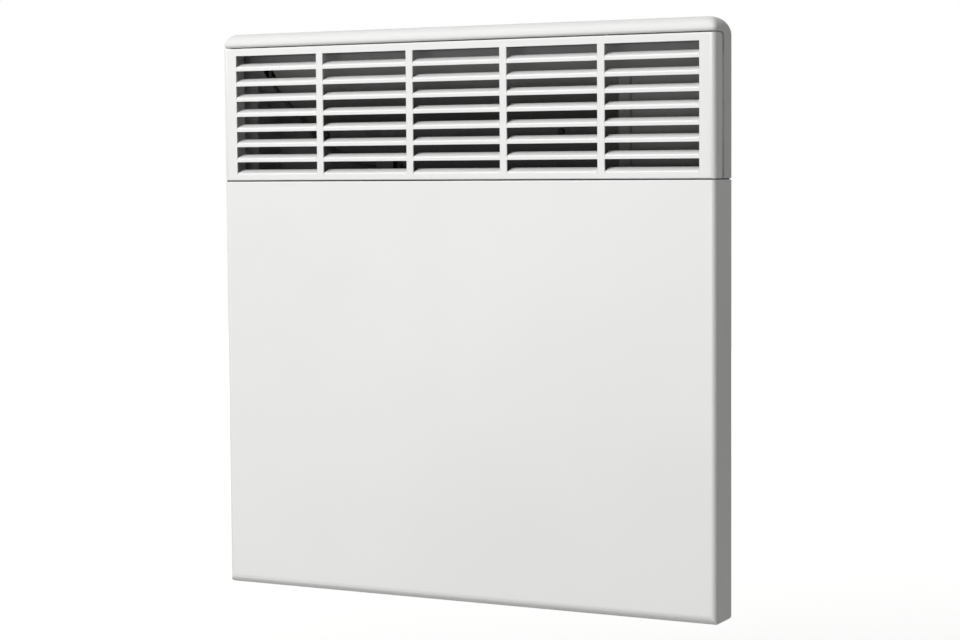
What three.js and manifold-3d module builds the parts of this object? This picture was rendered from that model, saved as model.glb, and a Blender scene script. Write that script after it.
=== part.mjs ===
// Wall-hung panel convector heater, 420 x 440 x 80 mm.
//
// A hat-shaped rear pan carries everything. A folded front panel slides up its side flanges, a
// lanced outlet grille stands on the panel, and a moulded hood caps both. Air rises past a finned
// element low in the pan, meets a sloping deflector and leaves through the grille. The casing
// hangs on four hooks of a wall bracket and lifts off it.
//
// Millimetres, +Z up. The origin is the centre of the bracket's wall face, +Y points into the
// wall, the heater faces -Y and +X is on the viewer's right.

import * as THREE from 'three';
import { mergeVertices } from 'three/addons/utils/BufferGeometryUtils.js';
import Module from 'manifold-3d';

const wasm = await Module();
wasm.setup();

// ---------------------------------------------------------------- driving dimensions

// Envelope
const bodyWidth = 420;
const bodyHeight = 440;
const bodyDepth = 80; // wall to front face
const standOff = 18; // wall to the back of the rear pan
const shellDepth = 30.5; // front face to the rear edge of the visible shell
const hoodRise = 11.2; // hood above its seam with the grille
const grilleHeight = 105.2; // seam to seam
const panInset = 14; // side of the shell to the side of the pan

// Sheets, walls and clearances
const panelSheet = 1.2;
const panSheet = 1;
const liningSheet = 0.8;
const bracketSheet = 1.5;
const hoodWall = 2;
const fit = 0.3; // between pieces that touch
const seamGap = 0.9; // shadow gap between the pieces of the shell
const cheekGap = 0.5; // between the grille's side flange and the hood's cheek
const cutDepth = 3; // how far a cutter runs past the sheet it cuts

// Front panel
const edgeRadius = 4.5; // long front edges of panel and grille
const sillRadius = 8; // bottom front edge
const toeRadius = 3; // lower corners seen from the front
const heelRadius = 2.5; // lower rear corner seen from the side
const foldRadius = 1; // folds along the seams
const panelFold = 8; // top fold behind the seam
const panelReturn = 11; // return flange round the rear edge
const inletCount = 5; // slots in the panel's floor
const inletBridge = 10; // sheet left between slots, end to end
const inletEdge = 4; // sheet left in front of and behind a slot
const inletMargin = 16; // end slots to the side of the shell
const inletChamfer = 2.5;

// Outlet grille
const grilleColumns = 5;
const grilleRows = 8;
const grilleMargin = 12.8; // end openings to the side of the shell
const grilleMullion = 5.7; // sheet between columns
const rowPitch = 12;
const openingHeight = 8.8;
const grilleFlange = 12.4; // depth of its side flanges
const grilleShoulder = 4; // rounding at the top rear of a side flange
const grilleTongue = 16; // reach of the top flange over the pan
const tongueInset = 12; // end of the top flange to the side of the shell
const tabDepth = 8; // how far a lanced tab leans in
const tabRise = 2.9;
const tabFold = 1.3;
const tabClearance = 0.3;
const grilleScrewInset = 90; // to the side of the shell

// Hood
const hoodSetBack = 0.8; // behind the grille's face
const hoodFrontRadius = 8.5;
const hoodCornerRadius = 4;
const hoodBossRadius = 3.5;
const hoodBossInset = 60; // to the side of the shell
const hoodBossDepth = 23; // behind the front face

// Rear pan
const panCorner = 5;
const panInletCount = 4; // slots in each row of the pan's floor
const panInletRows = 2;
const panInletMargin = 8; // end slots to the duct's side walls
const flangeSetIn = 1.5; // rear edge of the shell to the pan's flange
const shelfReach = 10; // front face to the shelf's front edge

// Wall bracket
const bracketInset = 70; // ends of the body to the ends of the bracket
const railSpacing = 200;
const railWidth = 30;
const railFoot = 12;
const railBend = 1;
const centreStrap = 36;
const endStrap = 18;
const wallSlotWidth = 6;
const wallSlotLength = 12;
const wallSlotInset = 15; // from the rail's end
const strapSlotX = 50;
const upperHookDrop = 140; // below the top of the body
const lowerHookRise = 100; // above its bottom
const hookWidth = 16;
const hookNeck = 2.5;
const hookLip = 7;
const hookThickness = 2;
const hookPlay = 0.4; // lip to the pan
const hookWindow = 10; // lanced window above the hook
const slotWidth = 20;
const slotHeight = 11.5;

// Air deflector
const deflectorFoot = 14;
const deflectorUpright = 11; // its upright part under the tongue
const deflectorSetBack = 17; // its upright part behind the front face
const deflectorTongue = 10;
const deflectorBend = 3;
const deflectorScrewLeft = 45; // to the pan's left wall
const deflectorScrewInner = 40; // inside the bracket's right rail

// Heat shield and the right-hand compartment
const shieldSetBack = 12.2; // behind the front face
const shieldDrop = 8; // below the top of the front panel
const shieldRise = 21; // above the pan's floor
const shieldEdge = 2; // beside the pan's left wall
const bayWidth = 72.5; // partition to the pan's right wall
const partitionFlange = 18;
const partitionFoot = 12;
const partitionRise = 6; // above the pan's floor
const coverEdge = 9.5; // partition to the cover's left edge
const coverLip = 2;
const coverDrop = 24; // below the pan's ceiling
const coverOverlap = 4; // on the pan's flange

// Heating element
const elementRise = 130; // axis above the bottom of the body
const elementDepth = 37; // behind the front face
const coreRadius = 4;
const finLeftGap = 18; // from the hanger
const finRightGap = 17.5; // from the partition
const finArm = 22;
const finThickness = 1.6;
const finHub = 7;
const finletSpacing = 5;
const finletLength = 9;
const finletCount = 3;
const hangerInset = 27; // to the pan's left wall
const hangerHeight = 70;
const hangerFoot = 14;
const hangerReach = 42;
const hangerLip = 6;
const spoolRadius = 9;
const spoolNeck = 6.5;
const spoolLength = 12;
const coreEnd = 10; // past the middle of the spool
const terminalRadius = 2.4;
const terminalCollar = 3.4;
const terminalLength = 9;

// Thermal cut-out and wires
const cutoutInset = 102; // to the pan's left wall
const cutoutDrop = 34; // below the deflector's slope
const cutoutRadius = 8;
const cutoutDepth = 7;
const cutoutFlange = 10;
const wireRadius = 1.5;
const wireBend = 8;
const wireHoleSize = 9;
const wireHoleInset = 16; // to the pan's left wall
const wireHoleBack = 4; // behind the deflector's upright
const wireSideGap = 7; // lower lead to the pan's left wall

// Controls on the top ledge
const fasciaLeftGap = 3.5; // from the partition
const fasciaRightGap = 5; // from the pan's right wall
const fasciaBackGap = 4; // from the pan's back
const fasciaWidth = 24; // front to back
const fasciaPlate = 2;
const fasciaRim = 2; // plate past its skirt
const fasciaSkirt = 6;
const fasciaWall = 1.5;
const fasciaCorner = 3;
const knobInset = 23; // to the pan's right wall
const knobRadius = 13;
const knobHeight = 9.9;
const knobTaper = 1.2;
const knobFlutes = 12;
const knobRecess = 6.4;
const shaftRadius = 3;
const bushRadius = 4.6;
const bushProud = 0.5;
const potRadius = 8.5;
const potDepth = 9;
const shaftDepth = 6;
const shaftGrip = 6;
const sliderInset = 8.5; // to the fascia's left edge
const sliderTravel = 16;
const sliderStem = 3;
const sliderCapWidth = 6;
const sliderCapDepth = 9;
const sliderCapHeight = 3.2;
const sliderGrooves = 3;
const sliderGroovePitch = 1.6;
const sliderGrooveWidth = 0.7;
const sliderGrooveDepth = 0.6;
const switchMargin = 2.5;
const switchDepth = 9;
const switchHeight = 7;
const switchChannel = 3.2;
const pilotOffset = 6.8; // behind the slider
const pilotRadius = 2.2;
const pilotProud = 1;
const pilotLength = 6;

// Electrics in the right-hand compartment
const housingInset = 8; // to the pan's right wall
const housingWidth = 50;
const housingHeight = 120;
const housingAbove = 20; // element's axis to the housing's floor
const housingDepth = 27;
const housingWall = 2;
const housingSeat = 5; // from its back to the board
const postRadius = 3;
const postInset = 6.5;
const boardThickness = 1.6;
const boardMargin = 1;
const relaySize = [19, 13, 15];
const relayPlace = [23, 85]; // from the housing's lower left corner
const capacitorRadius = 5;
const capacitorHeight = 12;
const capacitorPlace = [13, 35];
const blockInset = 17; // to the pan's right wall
const blockWidth = 30;
const blockHeight = 16;
const blockRise = 56; // above the pan's floor
const blockDepth = 15;
const blockWays = 3;
const grommetRise = 16; // above the pan's floor
const grommetBore = 4;
const grommetRadius = 9;
const grommetNeck = 6.2;
const grommetLip = 2;
const clampRise = 19; // above the grommet
const clampWidth = 34;
const clampDepth = 11;
const clampThick = 8;
const clampTunnel = 4.2;
const sensorInset = 25; // to the pan's right wall
const sensorOffset = 17; // from the pan's back
const sensorRadius = 2.4;
const sensorLength = 17;
const holderRadius = 4;
const holderFlange = 6.5;
const holderAbove = 7;
const earthInset = 7; // screw to the pan's right wall
const earthDrop = 22; // screw below the terminal block

// Screws
const screwRadius = 1.6;
const screwHead = 3;
const screwHeadHeight = 2;
const screwHole = screwRadius + fit;
const panelScrewDrop = 43; // upper pair below the panel's top
const panelScrewRise = 50; // lower pair above its floor
const panelShank = 8;
const hoodShank = 7;
const grilleShank = 4.4;
const clampShank = 16;
const backShank = 6; // into the pan's back wall
const housingShank = 7;
const flangeShank = 2.5;
const earthShank = 4;

// ---------------------------------------------------------------- derived planes

const halfWidth = bodyWidth / 2;
const top = bodyHeight / 2;
const bottom = -top;
const front = -bodyDepth;
const shellRear = front + shellDepth;
const hoodSeam = top - hoodRise;
const panelSeam = hoodSeam - grilleHeight;
const panelTop = panelSeam - seamGap / 2;
const grilleBottom = panelSeam + seamGap / 2;
const grilleTop = hoodSeam - seamGap / 2;
const hoodEdge = hoodSeam + seamGap / 2;

const panBack = -standOff;
const panFloor = panBack - panSheet; // inner face of the back wall
const panHalf = halfWidth - panInset;
const panInner = panHalf - panSheet;
const panTop = grilleTop - panelSheet - fit;
const panCeiling = panTop - panSheet;
const panBottom = bottom + panInset;
const flangeBack = shellRear - flangeSetIn;
const flangeFront = flangeBack - panSheet;
const flangeHalf = halfWidth - hoodWall - fit;
const liningSeat = flangeFront - fit; // rear face of what rests on the pan's flange
const shelfFront = front + shelfReach;
const partitionX = panInner - bayWidth;

const columnPitch = (bodyWidth - grilleMargin * 2 + grilleMullion) / grilleColumns;
const openingWidth = columnPitch - grilleMullion;
const grilleScrewX = halfWidth - grilleScrewInset;
const grilleScrewY = shelfFront + screwHead - cheekGap;
const hoodBossX = halfWidth - hoodBossInset;
const hoodBossY = front + hoodBossDepth;

const bracketTop = top - bracketInset;
const hookHeights = [top - upperHookDrop, bottom + lowerHookRise];
const railX = railSpacing / 2;
const bracketFront = panBack + fit;
const hookBack = panFloor - hookPlay;
const hookFront = hookBack - hookThickness;

const slopeFoot = panFloor - fit; // rear face of the deflector's foot
const slopeHead = front + deflectorSetBack;
const tongueSeat = panCeiling - fit - liningSheet; // underside of the deflector's tongue
const slopeTop = tongueSeat - deflectorUpright;
const deflectorStart = slopeTop - (slopeFoot - slopeHead); // the slope is 45 degrees
const partitionSeat = liningSeat - liningSheet; // front face of the partition's flange
const coverSeat = partitionSeat - fit;
const coverLeft = partitionX + coverEdge;
const coverTop = panCeiling - coverDrop;
const partitionBottom = panBottom + partitionRise;
const shieldTop = panelTop - shieldDrop;
const shieldBottom = panBottom + shieldRise;

const elementY = front + elementDepth;
const elementHeight = bottom + elementRise;
const hangerX = hangerInset - panInner;
const finLeft = hangerX + finLeftGap;
const finRight = partitionX - finRightGap;
const spoolRightX = partitionX - liningSheet / 2;
const coreLeft = hangerX - coreEnd;
const coreRight = spoolRightX + coreEnd;
const cutoutX = cutoutInset - panInner;
const cutoutHeight = deflectorStart - cutoutDrop;

const fasciaSeat = panTop + fit;
const fasciaTop = fasciaSeat + fasciaPlate;
const controlSeat = fasciaSeat - fit; // what hangs under the fascia
const bushTop = fasciaTop + bushProud;
const fasciaLeft = partitionX + fasciaLeftGap;
const fasciaRight = panInner - fasciaRightGap;
const fasciaBack = panBack - fasciaBackGap;
const fasciaFront = fasciaBack - fasciaWidth;
const controlY = (fasciaFront + fasciaBack) / 2;
const knobX = panInner - knobInset;
const sliderX = fasciaLeft + sliderInset;
const switchX = sliderX + sliderTravel / 2;

const housingRight = panInner - housingInset;
const housingLeft = housingRight - housingWidth;
const housingBottom = elementHeight + housingAbove;
const housingTop = housingBottom + housingHeight;
const housingBack = panFloor - fit;
const boardBack = housingBack - housingWall - housingSeat - fit;
const boardFront = boardBack - boardThickness;
const blockRight = panInner - blockInset;
const blockLeft = blockRight - blockWidth;
const blockBottom = panBottom + blockRise;
const blockTop = blockBottom + blockHeight;
const grommetX = (blockLeft + blockRight) / 2;
const grommetHeight = panBottom + grommetRise;
const clampHeight = grommetHeight + clampRise;
const sensorX = panInner - sensorInset;
const sensorY = panBack - sensorOffset;

const panelScrewX = halfWidth - panelReturn / 2 - panelSheet / 2;
const panelScrewHeights = [panelTop - panelScrewDrop, bottom + panelScrewRise];
const shieldScrewHeight = (shieldTop + shieldBottom) / 2;
const shieldScrewLeftX = -(panInner + panInset / 4);
const shieldScrewRightX = partitionX + coverEdge / 2;
const deflectorScrewXs = [deflectorScrewLeft - panInner, railX - deflectorScrewInner];
const deflectorScrewHeight = deflectorStart - deflectorFoot / 2 - deflectorBend;
const hangerScrewX = hangerX - hangerFoot / 2 - deflectorBend / 2;
const hangerScrewHeights = [elementHeight - hangerHeight / 4, elementHeight + hangerHeight / 4];
const housingScrewX = (housingLeft + housingRight) / 2;
const housingScrewHeights = [housingBottom + postInset * 2, housingTop - postInset * 2];
const clampScrewOffset = clampWidth / 2 - clampDepth / 2;
const earthScrewX = panInner - earthInset;
const earthScrewHeight = blockBottom - earthDrop;

// ---------------------------------------------------------------- shaping helpers

const { lerp } = THREE.MathUtils;
const axisFrames = {
  x: [new THREE.Vector3(0, 1, 0), new THREE.Vector3(0, 0, 1), new THREE.Vector3(1, 0, 0)],
  y: [new THREE.Vector3(1, 0, 0), new THREE.Vector3(0, 0, 1), new THREE.Vector3(0, -1, 0)],
  z: [new THREE.Vector3(1, 0, 0), new THREE.Vector3(0, 1, 0), new THREE.Vector3(0, 0, 1)],
};

// Closed, merged solid of a geometry.
function solidOf(geometry) {
  const bare = geometry.clone();
  bare.deleteAttribute('normal');
  bare.deleteAttribute('uv');
  const merged = mergeVertices(bare);
  const corners = merged.index.array;
  const kept = [];
  for (let i = 0; i < corners.length; i += 3) {
    const [a, b, c] = [corners[i], corners[i + 1], corners[i + 2]];
    if (a !== b && b !== c && c !== a) kept.push(a, b, c);
  }
  return new wasm.Manifold(new wasm.Mesh({
    numProp: 3,
    vertProperties: merged.attributes.position.array,
    triVerts: Uint32Array.from(kept),
  }));
}

// Outline through corners [u, v, radius]; a radius rounds its corner with an arc.
function outline(corners) {
  const shape = new THREE.Shape();
  const count = corners.length;
  corners.forEach(([u, v, radius = 0], i) => {
    const corner = new THREE.Vector2(u, v);
    const [pu, pv] = corners[(i + count - 1) % count];
    const [nu, nv] = corners[(i + 1) % count];
    const back = new THREE.Vector2(pu, pv).sub(corner).normalize();
    const ahead = new THREE.Vector2(nu, nv).sub(corner).normalize();
    const half = Math.acos(THREE.MathUtils.clamp(back.dot(ahead), -1, 1)) / 2;
    const reach = radius > 0 ? radius / Math.tan(half) : 0;
    const start = corner.clone().addScaledVector(back, reach);
    if (i === 0) shape.moveTo(start.x, start.y);
    else shape.lineTo(start.x, start.y);
    if (radius <= 0) return;
    const middle = back.clone().add(ahead).normalize();
    const centre = corner.clone().addScaledVector(middle, radius / Math.sin(half));
    const end = corner.clone().addScaledVector(ahead, reach);
    const from = start.sub(centre).angle();
    const to = end.sub(centre).angle();
    shape.absarc(centre.x, centre.y, radius, from, to, back.cross(ahead) > 0);
  });
  shape.closePath();
  return shape;
}

// Outline of a folded sheet: one face follows the points, the metal lies on their left.
function foldedSheet(points, thickness, bend) {
  const line = points.map(([u, v]) => new THREE.Vector2(u, v));
  const runs = line.slice(1).map((point, i) => point.clone().sub(line[i]).normalize());
  const lefts = runs.map((run) => new THREE.Vector2(-run.y, run.x));
  const face = [];
  const back = [];
  line.forEach((point, i) => {
    const before = lefts[Math.max(i - 1, 0)];
    const after = lefts[Math.min(i, lefts.length - 1)];
    const miter = before.clone().add(after).multiplyScalar(thickness / (1 + before.dot(after)));
    const inside = i > 0 && i < lefts.length;
    const turnsLeft = inside && runs[i - 1].cross(runs[i]) > 0;
    const outer = inside ? bend + thickness : 0;
    const inner = inside ? bend : 0;
    face.push([point.x, point.y, turnsLeft ? outer : inner]);
    back.push([point.x + miter.x, point.y + miter.y, turnsLeft ? inner : outer]);
  });
  return outline([...face, ...back.reverse()]);
}

// Solid of a shape extruded along an axis: x takes (y, z), y takes (x, z), z takes (x, y).
function prism(shape, axis, from, to, arcSteps = 3) {
  const depth = Math.abs(to - from);
  const geometry = new THREE.ExtrudeGeometry(shape, { depth, bevelEnabled: false, curveSegments: arcSteps });
  geometry.applyMatrix4(new THREE.Matrix4().makeBasis(...axisFrames[axis]));
  const start = axis === 'y' ? Math.max(from, to) : Math.min(from, to);
  geometry.translate(axis === 'x' ? start : 0, axis === 'y' ? start : 0, axis === 'z' ? start : 0);
  return solidOf(geometry);
}

function block([x0, x1], [y0, y1], [z0, z1]) {
  const geometry = new THREE.BoxGeometry(x1 - x0, y1 - y0, z1 - z0);
  geometry.translate((x0 + x1) / 2, (y0 + y1) / 2, (z0 + z1) / 2);
  return solidOf(geometry);
}

// Geometry built round +Y, turned so that +Y points along the axis.
function aim(geometry, axis) {
  if (axis === 'x') geometry.rotateZ(-Math.PI / 2);
  if (axis === 'z') geometry.rotateX(Math.PI / 2);
  return geometry;
}

// Round bar from one point along an axis.
function rod(radius, axis, start, length, sides = 16) {
  const geometry = aim(new THREE.CylinderGeometry(radius, radius, length, sides), axis);
  const half = new THREE.Vector3(axis === 'x' ? 1 : 0, axis === 'y' ? 1 : 0, axis === 'z' ? 1 : 0);
  half.multiplyScalar(length / 2).add(new THREE.Vector3(...start));
  geometry.translate(half.x, half.y, half.z);
  return solidOf(geometry);
}

// Turned piece: profile points [radius, height] from the axis and back to it.
function turned(profile, sides = 16) {
  const points = profile.map(([radius, height]) => new THREE.Vector2(radius, height));
  return new THREE.LatheGeometry(points, sides);
}

// Round wire along a smooth route.
function wire(route, radius, steps) {
  const section = new THREE.Shape().absarc(0, 0, radius, 0, Math.PI * 2);
  const path = new THREE.CatmullRomCurve3(route.map((point) => new THREE.Vector3(...point)));
  return new THREE.ExtrudeGeometry(section, { steps, extrudePath: path, curveSegments: 3 });
}

function join(first, ...others) {
  return others.reduce((whole, other) => whole.add(other), first);
}

function cut(body, ...tools) {
  return tools.reduce((rest, tool) => rest.subtract(tool), body);
}

function centredOn(middle, width) {
  return [middle - width / 2, middle + width / 2];
}

// Evenly spaced places about zero.
function spread(count, pitch) {
  return Array.from({ length: count }, (_, i) => (i - (count - 1) / 2) * pitch);
}

function mesh(name, geometry, finish) {
  const node = new THREE.Mesh(geometry, new THREE.MeshStandardMaterial(finish));
  node.name = name;
  return node;
}

// Mesh of a solid after its joins and cuts.
function piece(name, solid, finish) {
  const { vertProperties, triVerts, numProp } = solid.getMesh();
  const geometry = new THREE.BufferGeometry();
  geometry.setAttribute('position', new THREE.BufferAttribute(vertProperties, numProp));
  geometry.setIndex(new THREE.BufferAttribute(triVerts, 1));
  geometry.computeVertexNormals();
  return mesh(name, geometry, finish);
}

// ---------------------------------------------------------------- finishes

const whiteEnamel = { color: 0xe9e9e8, roughness: 0.45, metalness: 0 };
const whitePlastic = { color: 0xececea, roughness: 0.5, metalness: 0 };
const galvanised = { color: 0x9a9d9f, roughness: 0.5, metalness: 0.8 };
const zincPlate = { color: 0xc2c4c2, roughness: 0.35, metalness: 0.9 };
const aluminium = { color: 0xb9bcbe, roughness: 0.4, metalness: 0.9 };
const ceramic = { color: 0xe8e2d2, roughness: 0.6, metalness: 0 };
const blackPlastic = { color: 0x232425, roughness: 0.55, metalness: 0 };
const blackSleeve = { color: 0x1b1b1c, roughness: 0.7, metalness: 0 };
const laminate = { color: 0x2e5b3a, roughness: 0.55, metalness: 0 };
const greyPlastic = { color: 0x8b8f92, roughness: 0.5, metalness: 0 };
const earthSleeve = { color: 0x8aa32b, roughness: 0.6, metalness: 0 };
const amberLens = { color: 0xd8862a, roughness: 0.2, metalness: 0 };
const brass = { color: 0xb8964e, roughness: 0.35, metalness: 0.9 };

// ---------------------------------------------------------------- front shell

// Plan of the shell's skin, inset from its outer face: a U with rounded front edges.
function shellPlan(inset, rear) {
  const half = halfWidth - inset;
  const face = front + inset;
  const radius = edgeRadius - inset;
  return outline([[half, face, radius], [half, rear], [-half, rear], [-half, face, radius]]);
}

function panelSide(inset) {
  const face = front + inset;
  const rear = shellRear - inset;
  const low = bottom + inset;
  const high = panelTop - inset;
  const fold = Math.max(foldRadius - inset, 0);
  return outline([[face, high, fold], [face, low, sillRadius - inset],
    [rear, low, heelRadius - inset], [rear, high]]);
}

// Rows of long air-inlet slots with chamfered ends through a floor at the given height.
function inletSlots([xFrom, xTo], count, [yFrom, yTo], rows, height) {
  const half = (xTo - xFrom - (count - 1) * inletBridge) / count / 2;
  const deep = (yTo - yFrom - (rows - 1) * inletEdge) / rows / 2;
  const c = inletChamfer;
  const middle = (xFrom + xTo) / 2;
  const across = spread(count, half * 2 + inletBridge).map((x) => middle + x);
  const back = spread(rows, deep * 2 + inletEdge).map((y) => (yFrom + yTo) / 2 + y);
  return across.flatMap((x) => back.map((y) => prism(outline([
    [x - half, y - deep + c], [x - half + c, y - deep], [x + half - c, y - deep], [x + half, y - deep + c],
    [x + half, y + deep - c], [x + half - c, y + deep], [x - half + c, y + deep], [x - half, y + deep - c],
  ]), 'z', height - cutDepth, height + cutDepth)));
}

function panelScrewPlaces() {
  return panelScrewHeights.flatMap((z) => [[-panelScrewX, z], [panelScrewX, z]]);
}

// Folded steel panel: face, sides, floor with the air inlet, top fold and rear return.
function frontPanel() {
  const reach = halfWidth + cutDepth;
  const faceView = outline([[-halfWidth, panelTop], [-halfWidth, bottom, toeRadius],
    [halfWidth, bottom, toeRadius], [halfWidth, panelTop]]);
  const skin = prism(shellPlan(0, shellRear), 'z', bottom, panelTop)
    .intersect(prism(panelSide(0), 'x', -reach, reach))
    .intersect(prism(faceView, 'y', front, shellRear));
  const hollow = prism(shellPlan(panelSheet, shellRear), 'z', bottom, panelTop)
    .intersect(prism(panelSide(panelSheet), 'x', -reach, reach));
  const innerHalf = halfWidth - panelSheet;
  const returnHalf = halfWidth - panelReturn;
  const rearWindow = block([-returnHalf, returnHalf],
    [shellRear - cutDepth, shellRear + cutDepth], [bottom + panelReturn, panelTop + cutDepth]);
  const topWindow = block([-innerHalf, innerHalf],
    [front + panelFold, shellRear - panelSheet], [panelTop - cutDepth, panelTop + cutDepth]);
  const holes = panelScrewPlaces()
    .map(([x, z]) => rod(screwHole, 'y', [x, shellRear - cutDepth, z], cutDepth * 2));
  const slots = inletSlots([inletMargin - halfWidth, halfWidth - inletMargin], inletCount,
    [front + sillRadius + inletEdge, flangeFront - inletEdge], 1, bottom);
  return piece('front_panel', cut(skin, hollow, rearWindow, topWindow, ...holes, ...slots), whiteEnamel);
}

// Lower edge of each opening, bottom row first.
function openingSills() {
  const field = (grilleRows - 1) * rowPitch + openingHeight;
  const lowest = (grilleTop + grilleBottom - field) / 2;
  return Array.from({ length: grilleRows }, (_, row) => lowest + row * rowPitch);
}

// Section of a lanced tab: it folds in from the strip below its opening and leans upwards.
function tabSection(sill) {
  const run = new THREE.Vector2(tabDepth, tabRise).normalize();
  const tip = [front + tabDepth, sill + tabRise];
  const under = [tip[0] + run.y * panelSheet, tip[1] - run.x * panelSheet];
  const backFace = front + panelSheet;
  const root = under[1] - (under[0] - backFace) * tabRise / tabDepth;
  const strip = sill - tabFold - panelSheet;
  return outline([[front, strip], [front, sill, tabFold], tip, under, [backFace, root], [backFace, strip]]);
}

// Steel outlet grille: openings lanced on three sides, each tab folded in as a louvre.
function outletGrille() {
  const rear = front + grilleFlange;
  const behind = rear + cutDepth;
  const sideView = outline([[front, grilleTop, foldRadius], [front, grilleBottom, foldRadius],
    [rear, grilleBottom], [rear, grilleTop, grilleShoulder]]);
  const inside = panelSheet;
  const innerView = outline([[front + inside, grilleTop - inside], [front + inside, grilleBottom + inside],
    [behind, grilleBottom + inside], [behind, grilleTop - inside]]);
  const reach = halfWidth + cutDepth;
  const skin = prism(shellPlan(0, rear), 'z', grilleBottom, grilleTop)
    .intersect(prism(sideView, 'x', -reach, reach));
  const hollow = prism(shellPlan(inside, behind), 'z', grilleBottom, grilleTop)
    .intersect(prism(innerView, 'x', -reach, reach));
  const tongueHalf = halfWidth - tongueInset;
  const tongue = block([-tongueHalf, tongueHalf],
    [front + foldRadius + inside, front + grilleTongue], [grilleTop - inside, grilleTop]);
  const columns = spread(grilleColumns, columnPitch);
  const openings = [];
  const tabs = [];
  for (const sill of openingSills()) {
    const tab = tabSection(sill);
    for (const x of columns) {
      const half = openingWidth / 2;
      openings.push(block([x - half, x + half], [front - cutDepth, front + cutDepth],
        [sill - tabFold, sill + openingHeight]));
      tabs.push(prism(tab, 'x', x - half + tabClearance, x + half - tabClearance, 1));
    }
  }
  const holes = [-grilleScrewX, grilleScrewX]
    .map((x) => rod(screwHole, 'z', [x, grilleScrewY, grilleTop - cutDepth], cutDepth * 2));
  const pierced = cut(join(cut(skin, hollow), tongue), ...openings, ...holes);
  return piece('outlet_grille', join(pierced, ...tabs), whiteEnamel);
}

// Side view of the hood: a bull-nose cap whose cheeks run down beside the grille.
function hoodSide(inset, foot) {
  const face = front + hoodSetBack + inset;
  const rear = shellRear - inset;
  const crest = top - inset;
  const radius = hoodFrontRadius - inset;
  const drop = crest - (panTop + fit);
  const shape = new THREE.Shape();
  shape.moveTo(face, foot);
  shape.lineTo(face, crest - radius);
  shape.absarc(face + radius, crest - radius, radius, Math.PI, Math.PI / 2, true);
  shape.absellipse(face + radius, crest - drop, rear - face - radius, drop, Math.PI / 2, 0, true);
  shape.lineTo(rear, foot);
  shape.closePath();
  return shape;
}

// Moulded hood: cap over grille and pan, cheeks down to the panel's seam.
function topHood() {
  const reach = halfWidth + cutDepth;
  const cheekFront = front + grilleFlange + cheekGap;
  const cheekFoot = panelSeam + seamGap / 2;
  const faceView = outline([[-halfWidth, cheekFoot], [halfWidth, cheekFoot],
    [halfWidth, top, hoodCornerRadius], [-halfWidth, top, hoodCornerRadius]]);
  const notch = outline([[front - cutDepth, cheekFoot - cutDepth], [cheekFront, cheekFoot - cutDepth],
    [cheekFront, hoodEdge, grilleShoulder + cheekGap], [front - cutDepth, hoodEdge]]);
  const whole = prism(hoodSide(0, cheekFoot), 'x', -reach, reach, 6)
    .intersect(prism(faceView, 'y', front, shellRear));
  const innerHalf = halfWidth - hoodWall;
  const between = block([-innerHalf, innerHalf], [front - cutDepth, shellRear + cutDepth],
    [cheekFoot - cutDepth, panTop + fit]);
  const cavity = prism(hoodSide(hoodWall, cheekFoot), 'x', -innerHalf, innerHalf, 6);
  const shell = cut(whole, prism(notch, 'x', -reach, reach), between, cavity);
  const bossFoot = panTop + fit;
  const bosses = [-hoodBossX, hoodBossX]
    .map((x) => rod(hoodBossRadius, 'z', [x, hoodBossY, bossFoot], top - bossFoot).intersect(whole));
  const bores = [-hoodBossX, hoodBossX]
    .map((x) => rod(screwHole, 'z', [x, hoodBossY, bossFoot - cutDepth], cutDepth * 2 + hoodWall));
  return piece('top_hood', cut(join(shell, ...bosses), ...bores), whitePlastic);
}

// ---------------------------------------------------------------- rear pan and bracket

// Places of the four hooks: [x, underside of the neck].
function hookPlaces() {
  return hookHeights.flatMap((z) => [[-railX, z], [railX, z]]);
}

// Fascia opening through the shelf, clear of the fascia's skirt.
function fasciaOpening(margin) {
  const inset = fasciaRim - margin;
  return outline([
    [fasciaLeft + inset, fasciaFront + inset, fasciaCorner - inset / 2],
    [fasciaRight - inset, fasciaFront + inset, fasciaCorner - inset / 2],
    [fasciaRight - inset, fasciaBack - inset, fasciaCorner - inset / 2],
    [fasciaLeft + inset, fasciaBack - inset, fasciaCorner - inset / 2],
  ]);
}

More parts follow.
